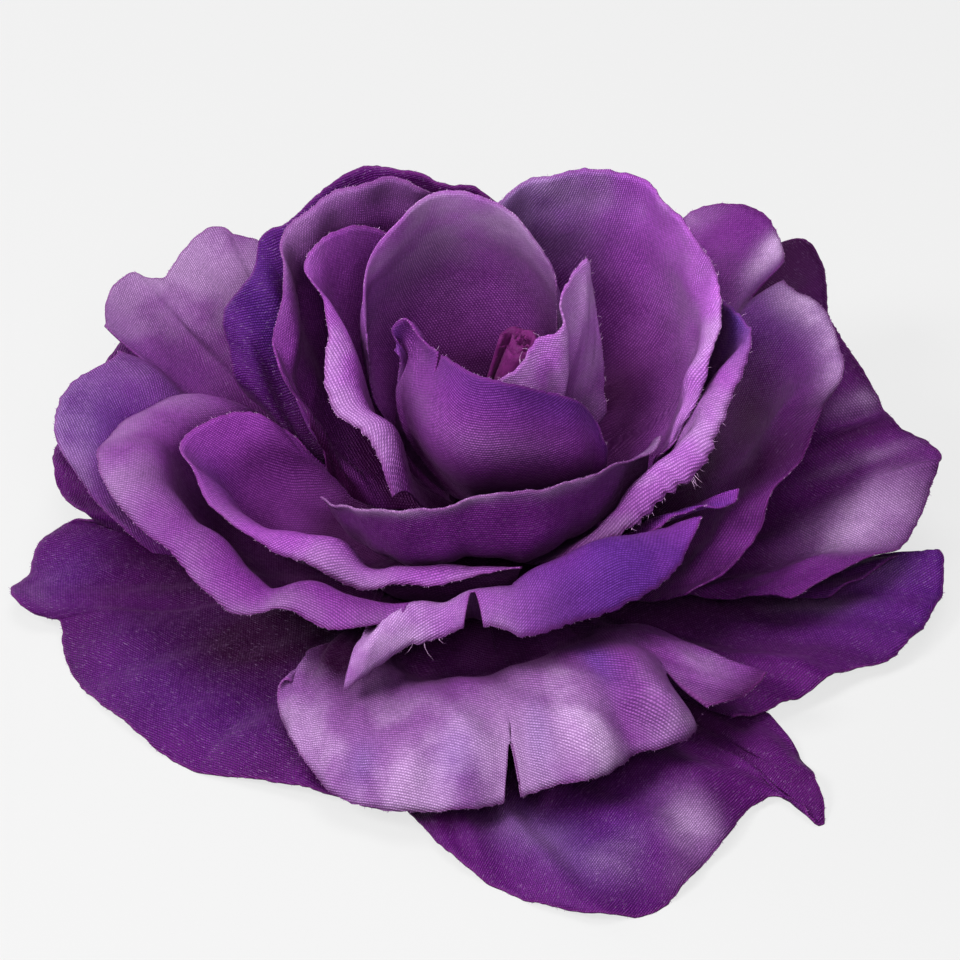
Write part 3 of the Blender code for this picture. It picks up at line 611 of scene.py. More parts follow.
def petal(name, claw, rim, width=6, crest=0.85, columns=11, grid_columns=210, grid_rows=42,
          tone=0.3, grain=0.0, fray=0.16, pucker=0.10, roll=0.0, trough=0.0, deep_dye_and_shade=(0.62, 0.4),
          threads=(), waves=((2, 0.2), (5, 0.12)), slits=(), bends=(), spray=()):
    """One petal: shaped, settled on the others, cut out, folded, rippled, coloured and frayed.

    Claw and grain are in degrees. Columns are those of the CAD solid; the coarse grid has three to
    each. Slits are (place along the rim, half width, depth); the other lists are explained where
    they are used. The tone is the dye's, lighter on the inner petals partly as a painted glow of
    light through the cloth. The petal's number seeds its random draws.
    """
    seed = len(placed_petals)
    claw_height = TOP_CLAW - CLAW_STEP * seed
    coarse, turn = petal_surface(claw, width, crest, rim, claw_height, (columns - 1) * 3 + 1, COARSE_ROWS)
    coarse = settled(coarse, turn)
    rim_length = size(np.diff(coarse[:, -1], axis=0)).sum()
    lengths = size(np.diff(coarse, axis=1)).sum(axis=1)
    u, s, from_edge, before_slit = cut_out(rim_length, lengths, slits, fray, seed, grid_columns, grid_rows)
    grid = sampled(coarse, u, s)
    normal = outward(grid, turn)
    fold, crease = folded(u, s, roll, trough, bends)
    pattern, flat_width, flat_length, flat_area = flat_pattern(
        grid + fold[..., None] * normal, width, math.radians(grain))
    lift = fold + crease + rippled(u, s, rim_length, waves, pucker, seed)
    grid = grid + lift[..., None] * normal
    grid[..., 2] = np.maximum(grid[..., 2], CLOTH_THICKNESS / 2 + 0.02)
    keep_fray(grid, rim_length, tone, fray, threads, seed)

    corners = grid_faces(*grid.shape[:2])
    if turn < 0:
        corners = corners[..., ::-1]
    corners = corners[~before_slit[:-1, :-1]].reshape(-1, 4)
    piece = shown(name + "_cloth", grid, corners.tolist(), petal_cloth, CLOTH_THICKNESS)
    layer = piece.data.uv_layers.new(name="flat_pattern")
    layer.data.foreach_set("uv", (pattern.reshape(-1, 2)[corners.ravel()] * MM).ravel().astype(np.float32))
    for key, values in painted(u, s, tone, deep_dye_and_shade, spray, from_edge).items():
        set_values(piece, key, values)
    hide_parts(name)


# In the spray lists the dark spots are deep dye and also painted shade in gaps and hollows; the pale spots
# are pale dye and also painted highlights on lips and ridges.
# furled inner bud petal, its corner folded over at the top right
petal("bud_tip", claw=-30, width=5, crest=0.8, tone=1.0, grain=-18, fray=0.5, deep_dye_and_shade=(0.7, 0.4),
    threads=[(0.22, 1.1), (0.3, 1.5)], waves=((2, 0.15), (5, 0.1)),
    spray=[("pale_and_highlight", 0.5, 1.0, 0.5, 0.55, 1.0)],
    rim=[(-111, 3, 28, 1.5, 0), (-67, 5.5, 34, 2, 0), (-11, 6.5, 36.5, 2.5, 0), (-5, 8.5, 37.5, 2.5, 0),
        (6, 8.2, 39.5, 2.5, 0), (13, 9.7, 41.5, 2, 0), (15, 11.6, 43.5, 2, 0), (17, 12.3, 40, 2, 0),
        (17, 13, 35, 2, 0), (16, 13.6, 30, 1.5, 0), (14, 14, 23, 1, 0)])

# outer bud petal wrapped round the front, notched, its left corner rolled in
petal("bud_front", claw=265, tone=0.32, grain=12, deep_dye_and_shade=(0.75, 0.4), threads=[(0.43, 0.8)],
    waves=((3, 0.25), (7, 0.12)), slits=[(0.44, 0.5, 2.4)],
    bends=[(0.3, 0.9, 0.08, 0.12, -1.0)],
    spray=[("blue", 0.75, 1.0, 0.3, 0.13, 0.7), ("deep_dye_and_shade", 0.75, 1.0, 0.35, 0.08, 0.35),
        ("blue", 0.25, 0.98, 0.05, 0.08, 0.7), ("pale_and_highlight", 0.5, 0.72, 0.2, 0.1, 0.15),
        ("pale_and_highlight", 0.3, 0.8, 0.12, 0.3, 0.15)],
    rim=[(165, 9.5, 22, 1, 0), (165, 9, 27.5, 1.5, 0), (170, 8, 32.5, 2, 0.5), (169, 9.5, 35, 2.5, 1.5),
        (169, 8.5, 36.5, 2.5, 1.5), (199, 6.5, 36, 3, 1), (222, 6, 36.5, 4, 0.5), (241, 6.5, 37, 5, 0),
        (263, 8, 37, 5.5, 0), (283, 9, 36.5, 5, 0), (306, 10.5, 35, 5, 0), (323, 12.5, 33, 5, 0),
        (330, 13.5, 30.5, 4.5, 0), (333, 14.5, 27, 4, 0), (337, 14.5, 22.5, 3.5, 0)])

# upright hollow petal behind the bud
petal("bud_back", claw=100, width=5, tone=1.0, grain=-50, pucker=0.22, deep_dye_and_shade=(0.85, 0.5),
    waves=((2, 0.3), (6, 0.2)),
    spray=[("deep_dye_and_shade", 0.32, 0.55, 0.2, 0.25, 0.9), ("blue", 0.75, 0.75, 0.12, 0.12, 0.3),
        ("pale_and_highlight", 0.5, 1.0, 0.5, 0.3, 1.1)],
    rim=[(44, 12, 21, 2, 0), (42, 11, 31, 3.5, 0), (42, 10, 39.5, 5, 0.5), (61, 8.5, 45, 6, 1),
        (90, 8, 47.5, 6.5, 1), (116, 9.5, 48, 6.5, 1), (137, 11, 46, 6.5, 1), (149, 13, 42.5, 6, 1),
        (156, 13.5, 37, 5, 1), (157, 13, 30, 3.5, 0.5)])

# --- Inner ring ---
# Five petals round the bud: a narrow rolled one at the left, a low cup in front, tall ones behind,
# and a frayed one at the right that comes round to the front.

GENTLE = ((4, 0.5), (9, 0.25))  # ripples round a rim, as (count, height)

# narrow petal left of the bud with a broad rolled lip
petal("inner_left", claw=175, width=5, crest=0.78, tone=0.6, grain=60, pucker=0.05, deep_dye_and_shade=(0.75, 0.4),
    waves=((3, 0.2),),
    spray=[("pale_and_highlight", 0.7, 1.0, 0.4, 0.12, 0.6)],
    rim=[(121, 16.5, 38, 4, 0), (137, 18.5, 41, 4.5, 0.5), (150, 20, 40.5, 4.5, 1), (155, 20.5, 39, 4, 2),
        (160, 18, 37, 4, 2.5), (169, 16.5, 33.5, 3, 3), (183, 16.5, 30.5, 3, 4), (191, 16, 28, 2.5, 4.5),
        (200, 13.5, 26.5, 2, 4), (211, 12.5, 24, 2, 3), (222, 12.5, 20.5, 1.5, 2)])

# low cup in front of the bud
petal("inner_front", claw=270, crest=0.9, tone=0.12, waves=((3, 0.2), (9, 0.1)),
    bends=[(0.93, 1.0, 0.08, 0.09, 1.6), (0.3, 0.5, 0.03, 0.3, 0.4), (0.45, 0.5, 0.03, 0.3, -0.4),
        (0.6, 0.5, 0.03, 0.3, 0.4), (0.72, 0.5, 0.03, 0.3, -0.4)],
    spray=[("pale_and_highlight", 0.5, 1.0, 0.6, 0.04, 0.8), ("pale_and_highlight", 0.93, 1.0, 0.09, 0.12, 0.8)],
    rim=[(200, 18, 19, 5, 0.5), (219, 18, 22, 5, 0.5), (236, 18.5, 24.5, 5.5, 0.5),
        (253, 17.5, 26, 5.5, 0.5), (270, 16.5, 27.5, 5.5, 0.5), (292, 17, 27.5, 6, 0.5),
        (314, 17, 27, 5.5, 0.5), (337, 17.5, 26, 5.5, 1), (351, 19, 25.5, 6, 1)])

# tall round petal behind and right of the bud
petal("inner_right_back", claw=45, columns=15, tone=0.95, grain=85, fray=0.3, pucker=0.3, deep_dye_and_shade=(0.92, 0.5),
    waves=GENTLE,
    spray=[("blue", 0.88, 1.0, 0.24, 0.35, 0.85), ("pale_and_highlight", 0.8, 1.0, 0.25, 0.3, 0.6),
        ("pale_and_highlight", 0.35, 1.0, 0.3, 0.32, 0.8), ("deep_dye_and_shade", 0.48, 0.4, 0.35, 0.3, 1.0),
        ("deep_dye_and_shade", 0.2, 0.55, 0.12, 0.25, 0.8)],
    rim=[(-10, 18.5, 22.5, 3.5, 0.5), (-4, 22, 26.5, 5, 2), (3, 24.5, 31, 6, 2), (11, 26, 35.5, 7, 2),
        (17, 25.5, 39.5, 7.5, 2), (23, 24.5, 42.5, 8, 1.5), (34, 23, 45, 8, 1), (44, 21.5, 46, 8, 1),
        (53, 19, 46.5, 8, 1), (64, 17, 45.5, 7.5, 1), (79, 14.5, 43.5, 7, 1), (96, 15, 38, 6, 0)])

# frayed petal outside it, with a rolled lip that comes round to the front
petal("inner_right", claw=-25, crest=0.8, tone=0.62, grain=-60, fray=0.55, pucker=0.05,
    threads=[(0.37, 0.9), (0.375, 1.2), (0.38, 1.0), (0.385, 1.1)], waves=((4, 0.2), (9, 0.1)),
    spray=[("blue", 0.84, 0.85, 0.1, 0.4, 1.2), ("pale_and_highlight", 0.35, 1.0, 0.3, 0.25, 0.8),
        ("deep_dye_and_shade", 0.12, 0.95, 0.15, 0.4, 0.6)],
    rim=[(-60, 17, 17, 3, 2), (-48, 18.5, 18.5, 3.5, 3.5), (-36, 20.5, 20, 4, 5), (-25, 22, 21.5, 4.5, 5.5),
        (-17, 24.5, 23.5, 5, 6), (-10, 25.5, 26.5, 6, 5.5), (-3, 27, 29.5, 6.5, 5), (4, 28.5, 32, 7, 4),
        (8, 29, 33.5, 7.5, 2), (17, 27, 34.5, 7, 0), (28, 25.5, 33, 6.5, 0)])

# tall petal behind and left of the bud
petal("inner_back_left", claw=125, tone=0.4, grain=75, pucker=0.3, roll=0.4, deep_dye_and_shade=(0.68, 0.3),
    waves=((4, 0.5), (8, 0.25)),
    spray=[("pale_and_highlight", 0.35, 1.0, 0.4, 0.12, 0.35), ("deep_dye_and_shade", 1.0, 0.9, 0.2, 0.5, 1.4)],
    rim=[(101, 17.5, 41, 6.5, 0), (113, 16.5, 44, 7, 0.5), (124, 18, 45, 7, 0.5), (134, 20.5, 44.5, 7.5, 1),
        (144, 22.5, 42.5, 7, 1), (152, 23.5, 39.5, 7, 1), (160, 22, 36, 6, 1), (168, 22, 31, 5.5, 1),
        (171, 21.5, 28.5, 5, 1), (172, 19.5, 25, 4, 1), (175, 17.5, 22, 3.5, 0.5), (175, 16.5, 17.5, 3, 0)])

# --- Middle ring ---
# Two nested cups open to the left, a slit petal rolls over at the front, tall ones close the back.

# cup from the left round to the front
petal("mid_inner_left", claw=215, crest=0.82, tone=0.46, grain=70, roll=0.6, trough=0.3, deep_dye_and_shade=(0.8, 0.4),
    waves=((4, 0.35), (9, 0.2)),
    spray=[("pale_and_highlight", 0.75, 1.0, 0.35, 0.1, 0.4), ("pale_and_highlight", 0.87, 0.87, 0.16, 0.1, 0.3),
        ("blue", 0.3, 0.85, 0.06, 0.1, 0.5)],
    rim=[(163, 20, 16, 2.5, 0), (163, 24.5, 20, 5, 0.5), (168, 28, 21, 7, 1), (175, 31, 21, 7.5, 1),
        (180, 32, 20.5, 8, 1), (185, 30.5, 19, 7.5, 1.5), (190, 29.5, 17.5, 7, 2), (199, 26.5, 16.5, 6.5, 3),
        (207, 25, 16, 5.5, 4), (219, 22.5, 16, 5, 4.5), (234, 21, 15, 6, 4.5), (243, 19.5, 16, 6.5, 4.5),
        (258, 18.5, 16.5, 6.5, 4), (272, 17.5, 18, 6.5, 3), (285, 16.5, 18, 6, 1.5)])

# small pointed petal that shows only as a thin curled edge
petal("mid_right_tip", claw=-35, width=5, tone=0.35, grain=15,
    spray=[("blue", 0.7, 0.9, 0.3, 0.4, 0.8)],
    rim=[(-44, 19, 16, 1.5, 0.5), (-31, 21.5, 18.5, 2, 1), (-21, 25, 20, 2.5, 1), (-18, 28.5, 20.5, 2.5, 1),
        (-16, 28.5, 21.5, 2.5, 0.5)])

# tall outermost petal of the back left wall
petal("mid_back_left", claw=118, crest=0.82, tone=0.03, grain=-8, roll=0.4, waves=((4, 0.5), (9, 0.2)),
    spray=[("blue", 0.7, 0.9, 0.25, 0.3, 0.6)],
    rim=[(79, 17.5, 39, 6.5, 0), (92, 17.5, 42, 7, 0.5), (99, 18, 42.5, 7, 1), (107, 20.5, 43, 7.5, 1),
        (115, 22.5, 43, 7.5, 1), (123, 26, 41.5, 7.5, 1), (130, 28, 38.5, 7.5, 1), (136, 29.5, 35.5, 7, 1.5),
        (138, 31.5, 34, 7.5, 2), (143, 31, 30, 7, 3), (148, 33, 26.5, 6.5, 3), (151, 31, 22, 6, 2.5),
        (152, 29, 17.5, 4.5, 1.5)])

# big open cup at the left with a wide rolled lip
petal("mid_left", claw=200, crest=0.8, columns=15, tone=0.24, grain=50, roll=1.2, trough=0.8,
    waves=((4, 0.4), (9, 0.2)),
    bends=[(0.35, 0.86, 0.28, 0.09, -0.8)],
    spray=[("pale_and_highlight", 0.32, 1.0, 0.26, 0.12, 0.5), ("pale_and_highlight", 0.62, 1.0, 0.2, 0.07, 0.3),
        ("pale_and_highlight", 0.8, 1.0, 0.25, 0.07, 0.3), ("deep_dye_and_shade", 0.42, 0.62, 0.3, 0.11, 0.9),
        ("deep_dye_and_shade", 0.8, 0.55, 0.2, 0.14, 1.0)],
    rim=[(146, 29, 12, 5, 1), (150, 33.5, 14.5, 6, 3), (158, 38, 15.5, 7, 4), (168, 40.5, 17, 7.5, 4),
        (177, 41, 18, 7.5, 4), (184, 40, 17.5, 7.5, 4), (191, 37.5, 16.5, 7, 4), (199, 34.5, 15.5, 6.5, 4),
        (209, 33, 14, 6, 3.5), (216, 32, 13.5, 6, 4), (225, 28.5, 15, 5, 4), (237, 27.5, 14.5, 5, 4),
        (250, 23.5, 16.5, 4.5, 2.5)])

# slit front petal with a wide rolled lip, drooping at its left end
petal("mid_front", claw=280, crest=0.8, columns=15, tone=0.4, grain=20, pucker=0.06, roll=0.6,
    threads=[(0.22, 1.3), (0.25, 1.7), (0.28, 1.1)], waves=((3, 0.3),), slits=[(0.36, 1.1, 3.6)],
    bends=[(0.7, 0.78, 0.25, 0.12, -2.6), (0.68, 0.5, 0.3, 0.15, 1.5)],
    spray=[("pale_and_highlight", 0.15, 0.95, 0.22, 0.4, 0.95), ("blue", 0.75, 0.95, 0.3, 0.3, 0.85),
        ("pale_and_highlight", 0.42, 1.0, 0.06, 0.06, 0.4)],
    rim=[(242, 30.5, 11.5, 1, 5), (243, 31.5, 11, 1, 5), (245, 30.5, 11.5, 1.5, 5.5),
        (247, 28, 12, 2.5, 5.5), (252, 25, 13, 4, 5.5), (260, 24, 14, 5, 5), (267, 23.5, 15.5, 5, 5),
        (275, 24, 15.5, 5.5, 5.5), (280, 25, 15, 5.5, 6), (289, 25, 15.5, 5.5, 6.5),
        (299, 25.5, 16, 5.5, 6.5), (309, 26.5, 17, 5, 6), (318, 27, 18, 4.5, 4.5), (332, 26, 21.5, 3.5, 1)])

# hidden petal that closes the wall at the back right
petal("mid_back_right", claw=65, grid_columns=120, grid_rows=30, tone=0.3, grain=5,
    rim=[(31, 27.5, 26, 6, 1), (35, 27.5, 30, 6.5, 1), (43, 27, 33, 6.5, 1), (54, 26, 35, 7, 1),
        (66, 23.5, 36, 6.5, 1), (78, 21.5, 35, 6.5, 1), (93, 22, 31, 5.5, 0)])

# --- Outer ring ---
# Heart-shaped petals that lean well out; the front one arches over and hangs down.

FLARED = ((5, 0.6), (9, 0.25))  # the same for broad petals

# heart-shaped petal at the back left
petal("outer_left", claw=150, crest=0.8, columns=15, tone=0.12, grain=60, pucker=0.2, roll=0.8,
    deep_dye_and_shade=(0.72, 0.3), waves=FLARED, slits=[(0.545, 2.6, 4.5)],
    spray=[("pale_and_highlight", 0.32, 1.0, 0.22, 0.24, 0.6), ("blue", 0.72, 0.95, 0.15, 0.25, 0.6),
        ("pale_and_highlight", 0.7, 1.0, 0.2, 0.1, 0.45)],
    rim=[(133, 30.5, 20, 3, 0), (126, 42.5, 23.5, 4, 1), (128, 44.5, 24, 4.5, 1), (129, 47.5, 24, 4.5, 1),
        (134, 48, 22.5, 4.5, 1), (139, 47.5, 20.5, 4.5, 1), (141, 50.5, 21, 5, 1), (145, 50.5, 20.5, 5, 1),
        (149, 48.5, 18.5, 4.5, 1), (153, 45, 18, 4.5, 1), (161, 47.5, 18, 4.5, 1), (167, 47.5, 17, 4.5, 1.5),
        (171, 46.5, 15.5, 4.5, 1.5), (176, 42.5, 13, 4, 1), (180, 39.5, 11, 3.5, 1), (183, 35.5, 8, 3, 0.5)])

# heart-shaped petal at the right and back right
petal("outer_right", claw=25, crest=0.8, columns=15, tone=0.2, grain=-70, pucker=0.2, roll=1.2,
    deep_dye_and_shade=(0.88, 0.3), waves=FLARED, slits=[(0.675, 2.0, 5.5)],
    spray=[("pale_and_highlight", 0.53, 0.98, 0.09, 0.055, 2.0), ("pale_and_highlight", 0.735, 0.98, 0.022, 0.09, 1.4),
        ("pale_and_highlight", 0.92, 0.96, 0.05, 0.05, 0.5), ("deep_dye_and_shade", 0.3, 0.85, 0.1, 0.3, 0.85),
        ("deep_dye_and_shade", 0.49, 0.7, 0.16, 0.15, 0.95), ("deep_dye_and_shade", 0.68, 0.86, 0.02, 0.12, 0.8),
        ("blue", 0.6, 0.9, 0.12, 0.15, 0.35)],
    rim=[(-29, 25.5, 10, 2.5, 0), (-6, 31.5, 15.5, 3.5, 0.5), (3, 34.5, 18.5, 4, 1),
        (11, 37.5, 20.5, 4.5, 1.5), (14, 40.5, 22.5, 5, 2), (20, 41.5, 24, 5, 2), (28, 42, 25.5, 5, 2),
        (33, 40.5, 26, 5, 1.5), (38, 42.5, 26.5, 5, 1.5), (41, 44, 27.5, 5.5, 1.5), (48, 46, 28, 5.5, 1.5),
        (51, 45.5, 28, 5.5, 1), (56, 41.5, 27.5, 5, 0.5), (60, 39, 24, 4.5, 0)])

# heart-shaped, slit front petal that arches over and hangs down
petal("outer_front", claw=270, crest=0.68, columns=15, tone=0.2, grain=-20, pucker=0.35,
    waves=((5, 0.7), (9, 0.3)), slits=[(0.55, 0.9, 6.2), (0.875, 1.6, 5.5)],
    bends=[(0.5, 0.4, 0.6, 0.12, 4.0), (0.80, 0.9, 0.03, 0.15, -1.6), (0.74, 0.9, 0.025, 0.2, 0.5),
        (0.66, 0.95, 0.03, 0.2, -1.0), (0.58, 0.95, 0.02, 0.2, 0.9), (0.43, 0.9, 0.03, 0.15, 0.8),
        (0.33, 0.9, 0.03, 0.15, -0.6), (0.24, 0.95, 0.03, 0.2, 0.8)],
    spray=[("pale_and_highlight", 0.36, 0.9, 0.4, 0.3, 0.75), ("pale_and_highlight", 0.68, 0.85, 0.06, 0.2, 1.2),
        ("pale_and_highlight", 0.8, 0.95, 0.05, 0.1, 0.8), ("blue", 0.31, 0.9, 0.03, 0.06, 0.7),
        ("blue", 0.46, 0.86, 0.04, 0.09, 0.7), ("blue", 0.6, 0.86, 0.025, 0.1, 0.6),
        ("blue", 0.755, 0.68, 0.03, 0.13, 0.8), ("deep_dye_and_shade", 0.08, 0.66, 0.16, 0.13, 1.6),
        ("pale_and_highlight", 0.96, 0.85, 0.04, 0.12, 0.6), ("deep_dye_and_shade", 0.97, 1.0, 0.08, 0.06, 0.8)],
    rim=[(231, 27, 8, 1, 0.5), (227, 30, 7.5, 1.5, 1), (229, 32.5, 6.5, 1.5, 2.5), (237, 35.5, 5, 1.5, 4),
        (244, 38, 4, 1.5, 5), (250, 39.5, 3.5, 2, 5.5), (258, 40, 4, 2, 6), (267, 39.5, 4.5, 2, 6),
        (274, 39, 5, 2, 6), (280, 38, 5.5, 2, 6), (289, 38, 6, 1.5, 6), (296, 37, 6.5, 1.5, 6),
        (306, 37, 6.5, 1.5, 5), (310, 35, 7, 1.5, 4), (313, 36.5, 8, 1.5, 3), (316, 38, 9, 1.5, 2.5),
        (321, 38.5, 9.5, 2, 1.5)])

# round petal that closes the back, below the tall ones
petal("outer_back", claw=97, crest=0.75, grid_columns=140, grid_rows=34, tone=0.15, roll=0.8, waves=FLARED,
    rim=[(66, 24, 15, 2, 0), (69, 30, 18, 3, 0.5), (76, 34.5, 20, 3.5, 1), (86, 37, 21.5, 3.5, 1.5),
        (96, 38, 21.5, 3.5, 1.5), (105, 37, 20, 3, 1.5), (114, 34, 17.5, 2.5, 1), (119, 29.5, 15, 2, 0.5),
        (120, 24, 12.5, 1.5, 0)])

# --- Lowest row ---
# The largest petals, spread wide; at the front and left their edges lie on the table.

# left, mostly hidden
petal("base_left_back", claw=155, crest=0.75, grid_columns=140, grid_rows=34, tone=0.06, grain=10, roll=0.6,
    waves=FLARED,
    rim=[(129, 50.5, 12, 3, 0.5), (138, 51.5, 12, 3, 0.5), (148, 50.5, 11, 3, 0.5), (158, 50, 9.5, 3, 0.5),
        (163, 49.5, 8, 3, 0.5), (167, 47.5, 7, 2.5, 0.5), (170, 44, 6, 2.5, 0.5), (169, 42, 5, 2.5, 0),
        (171, 36.5, 5, 2, 0)])

# left and front left, spread flat
petal("base_left", claw=205, crest=0.75, columns=15, tone=0.03, grain=40, pucker=0.25, roll=0.5,
    deep_dye_and_shade=(0.72, 0.4), waves=GENTLE,
    spray=[("blue", 0.6, 0.8, 0.2, 0.2, 0.3), ("blue", 0.25, 0.9, 0.1, 0.1, 0.3),
        ("pale_and_highlight", 0.29, 0.95, 0.04, 0.03, 0.14), ("deep_dye_and_shade", 0.52, 0.5, 0.14, 0.24, 1.4)],
    rim=[(168, 36, 5, 2, 0), (168, 43, 4, 2.5, 0.5), (169, 47, 3.5, 2.5, 1), (173, 49, 3, 3, 1),
        (178, 49.5, 2.5, 3, 1), (183, 51, 2.5, 3, 1), (186, 49, 2, 3, 1), (187, 46, 1.5, 2.5, 1),
        (193, 46, 1, 2.5, 1.5), (201, 45, 0.5, 2.5, 1.5), (208, 43.5, 0.5, 2.5, 1.5),
        (223, 41.5, 0.5, 2.5, 1.5), (234, 38.5, 1, 2, 1.5), (245, 37, 1.5, 2, 1), (255, 36, 2, 2, 0.5)])

# right and back right
petal("base_right_back", claw=35, crest=0.75, columns=15, tone=0.1, grain=22, pucker=0.4, roll=0.8,
    waves=((4, 0.7), (9, 0.25)),
    bends=[(0.365, 0.97, 0.008, 0.06, -0.6), (0.52, 0.93, 0.012, 0.08, 0.7), (0.49, 0.92, 0.012, 0.1, -0.7)],
    spray=[("pale_and_highlight", 0.26, 0.86, 0.09, 0.12, 0.75), ("pale_and_highlight", 0.545, 0.93, 0.018, 0.07, 0.75),
        ("pale_and_highlight", 0.43, 0.85, 0.02, 0.1, 0.35), ("deep_dye_and_shade", 0.49, 0.9, 0.018, 0.1, 0.7),
        ("deep_dye_and_shade", 0.95, 0.9, 0.25, 0.5, 0.9), ("deep_dye_and_shade", 0.6, 1.0, 0.05, 0.05, 0.6)],
    rim=[(-13, 34, 8, 2, 0), (-5, 43, 8.5, 2.5, 0.5), (2, 47, 9, 2.5, 1), (8, 50, 10.5, 3, 1),
        (11, 51.5, 11.5, 3, 1), (14, 50.5, 12.5, 3, 1), (17, 48.5, 13, 3, 1), (24, 47.5, 14.5, 2.5, 1),
        (30, 47.5, 16, 2.5, 1), (38, 49.5, 17, 3, 1), (44, 54, 18, 3, 1), (48, 55, 19, 3, 0.5),
        (50, 53, 19, 3, 0), (51, 49, 17, 3, 0)])

# right, between its two neighbours
petal("base_right", claw=-15, crest=0.75, columns=15, tone=0.05, grain=-40, pucker=0.25, roll=0.6,
    waves=GENTLE, slits=[(0.57, 0.7, 0.7), (0.47, 0.9, 0.8), (0.38, 0.6, 0.6)],
    spray=[("blue", 0.7, 0.95, 0.3, 0.3, 0.5), ("pale_and_highlight", 0.58, 0.7, 0.04, 0.1, 0.5),
        ("pale_and_highlight", 0.67, 0.85, 0.04, 0.06, 0.25), ("deep_dye_and_shade", 0.35, 0.85, 0.06, 0.2, 0.4)],
    rim=[(-42, 36, 3, 2, 0), (-36, 37, 3, 2, 0.5), (-27, 39.5, 2.5, 2, 1), (-19, 43, 2.5, 2.5, 1),
        (-17, 45, 2.5, 2.5, 1), (-12, 47.5, 2.5, 2.5, 1), (-6, 49.5, 3, 3, 1), (-1, 50.5, 4, 3, 1),
        (3, 50, 4.5, 3, 1), (3, 47.5, 5, 2.5, 1), (0, 44, 5, 2.5, 0.5), (-6, 38, 4.5, 2, 0)])

# front, with a tail lobe at the right
petal("base_front", claw=285, crest=0.75, columns=15, tone=0.06, grain=30, pucker=0.35, roll=0.5,
    waves=GENTLE,
    spray=[("pale_and_highlight", 0.55, 0.92, 0.045, 0.1, 0.75), ("pale_and_highlight", 0.42, 0.84, 0.06, 0.06, 0.3),
        ("pale_and_highlight", 0.3, 0.8, 0.1, 0.1, 0.2), ("blue", 0.36, 0.78, 0.16, 0.16, 0.5)],
    rim=[(256, 34.5, 2, 1.5, 0), (264, 41, 1, 2, 1), (272, 46.5, 0.5, 2, 1.5), (278, 50, 0.5, 2.5, 1.5),
        (283, 52.5, 0.5, 2.5, 1.5), (289, 53, 0.5, 2.5, 1.5), (296, 50, 1, 2.5, 1.5), (304, 46.5, 1, 2, 1.5),
        (308, 45, 1, 2, 1.5), (312, 45, 1, 2, 1), (314, 47.5, 1, 2, 1), (314, 51, 0.5, 2.5, 0.5),
        (316, 49.5, 0.5, 2.5, 0.5), (319, 45.5, 1, 2, 1), (323, 41, 1.5, 2, 1), (325, 37, 2.5, 1.5, 0.5)])

# back, hidden
petal("base_back", claw=100, crest=0.75, grid_columns=160, grid_rows=34, tone=0.06, grain=-5, roll=0.5,
    waves=((4, 0.6), (9, 0.25)),
    rim=[(63, 40.5, 10, 2.5, 0.5), (70, 46.5, 10, 2.5, 1), (80, 51, 9, 3, 1), (87, 51.5, 9, 3, 1),
        (97, 51, 9, 3, 1), (105, 47.5, 10, 2.5, 1), (114, 41.5, 10, 2.5, 0.5)])

# --- Peg and calyx ---
# Moulded plastic, hidden under the petals: semi-matt green with the mould's fine grain.

def moulded_plastic(name, colour):
    """Principled plastic with a slow drift of colour and a fine grain."""
    plastic, w, shader = new_material(name)
    place = w.node("ShaderNodeTexCoord").outputs["Object"]
    drift = w.noise(place, 120, 3.0)
    w.feed(shader.inputs["Base Color"], w.mix(w.ramp(drift, 0.3, 0.7), colour, [0.7 * c for c in colour]))
    w.feed(shader.inputs["Normal"], w.bump(w.noise(place, 2500, 2.0), 0.25, 0.1 * MM).outputs[0])
    w.feed(shader.inputs["Roughness"], w.ramp(drift, 0.2, 0.8, 0.42, 0.55))
    return plastic


calyx_green = moulded_plastic("calyx_plastic", (0.05, 0.14, 0.04))
peg_green = moulded_plastic("peg_plastic", (0.10, 0.20, 0.07))
for node, finish in (("calyx", calyx_green), ("peg", peg_green)):
    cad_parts[node].material_slots[0].material = finish

# --- Centre tuft and loose yarns ---
# A rolled strip of the same cloth, cut end up, its pile frayed into a soft reddish brush. Its own
# yarn ends and those along the petals' rims are thin tapering tubes, painted paler by their tone and
# a mottle, a painted highlight where they catch light.

TUFT_TOP = 33.4
TUFT_HEIGHT = 14.0
TUFT_TURNS = 2.4
TUFT_COLUMNS, TUFT_ROWS = 170, 14
TUFT_COLOUR = (0.060, 0.003, 0.055)
TUFT_PALE = (0.26, 0.02, 0.22)
TUFT_CLOTH = 0.45  # thickness
PILE_ENDS = 900
PILE_FOOT = 6  # the pile stands on the rows from this one up
PILE_GIRTH = 0.06
YARN_COLOUR = (0.20, 0.03, 0.26)
# pale end of the yarns' colour, partly a painted highlight
YARN_PALE_AND_HIGHLIGHT = (0.75, 0.45, 0.78)
YARN_GIRTH = 0.07


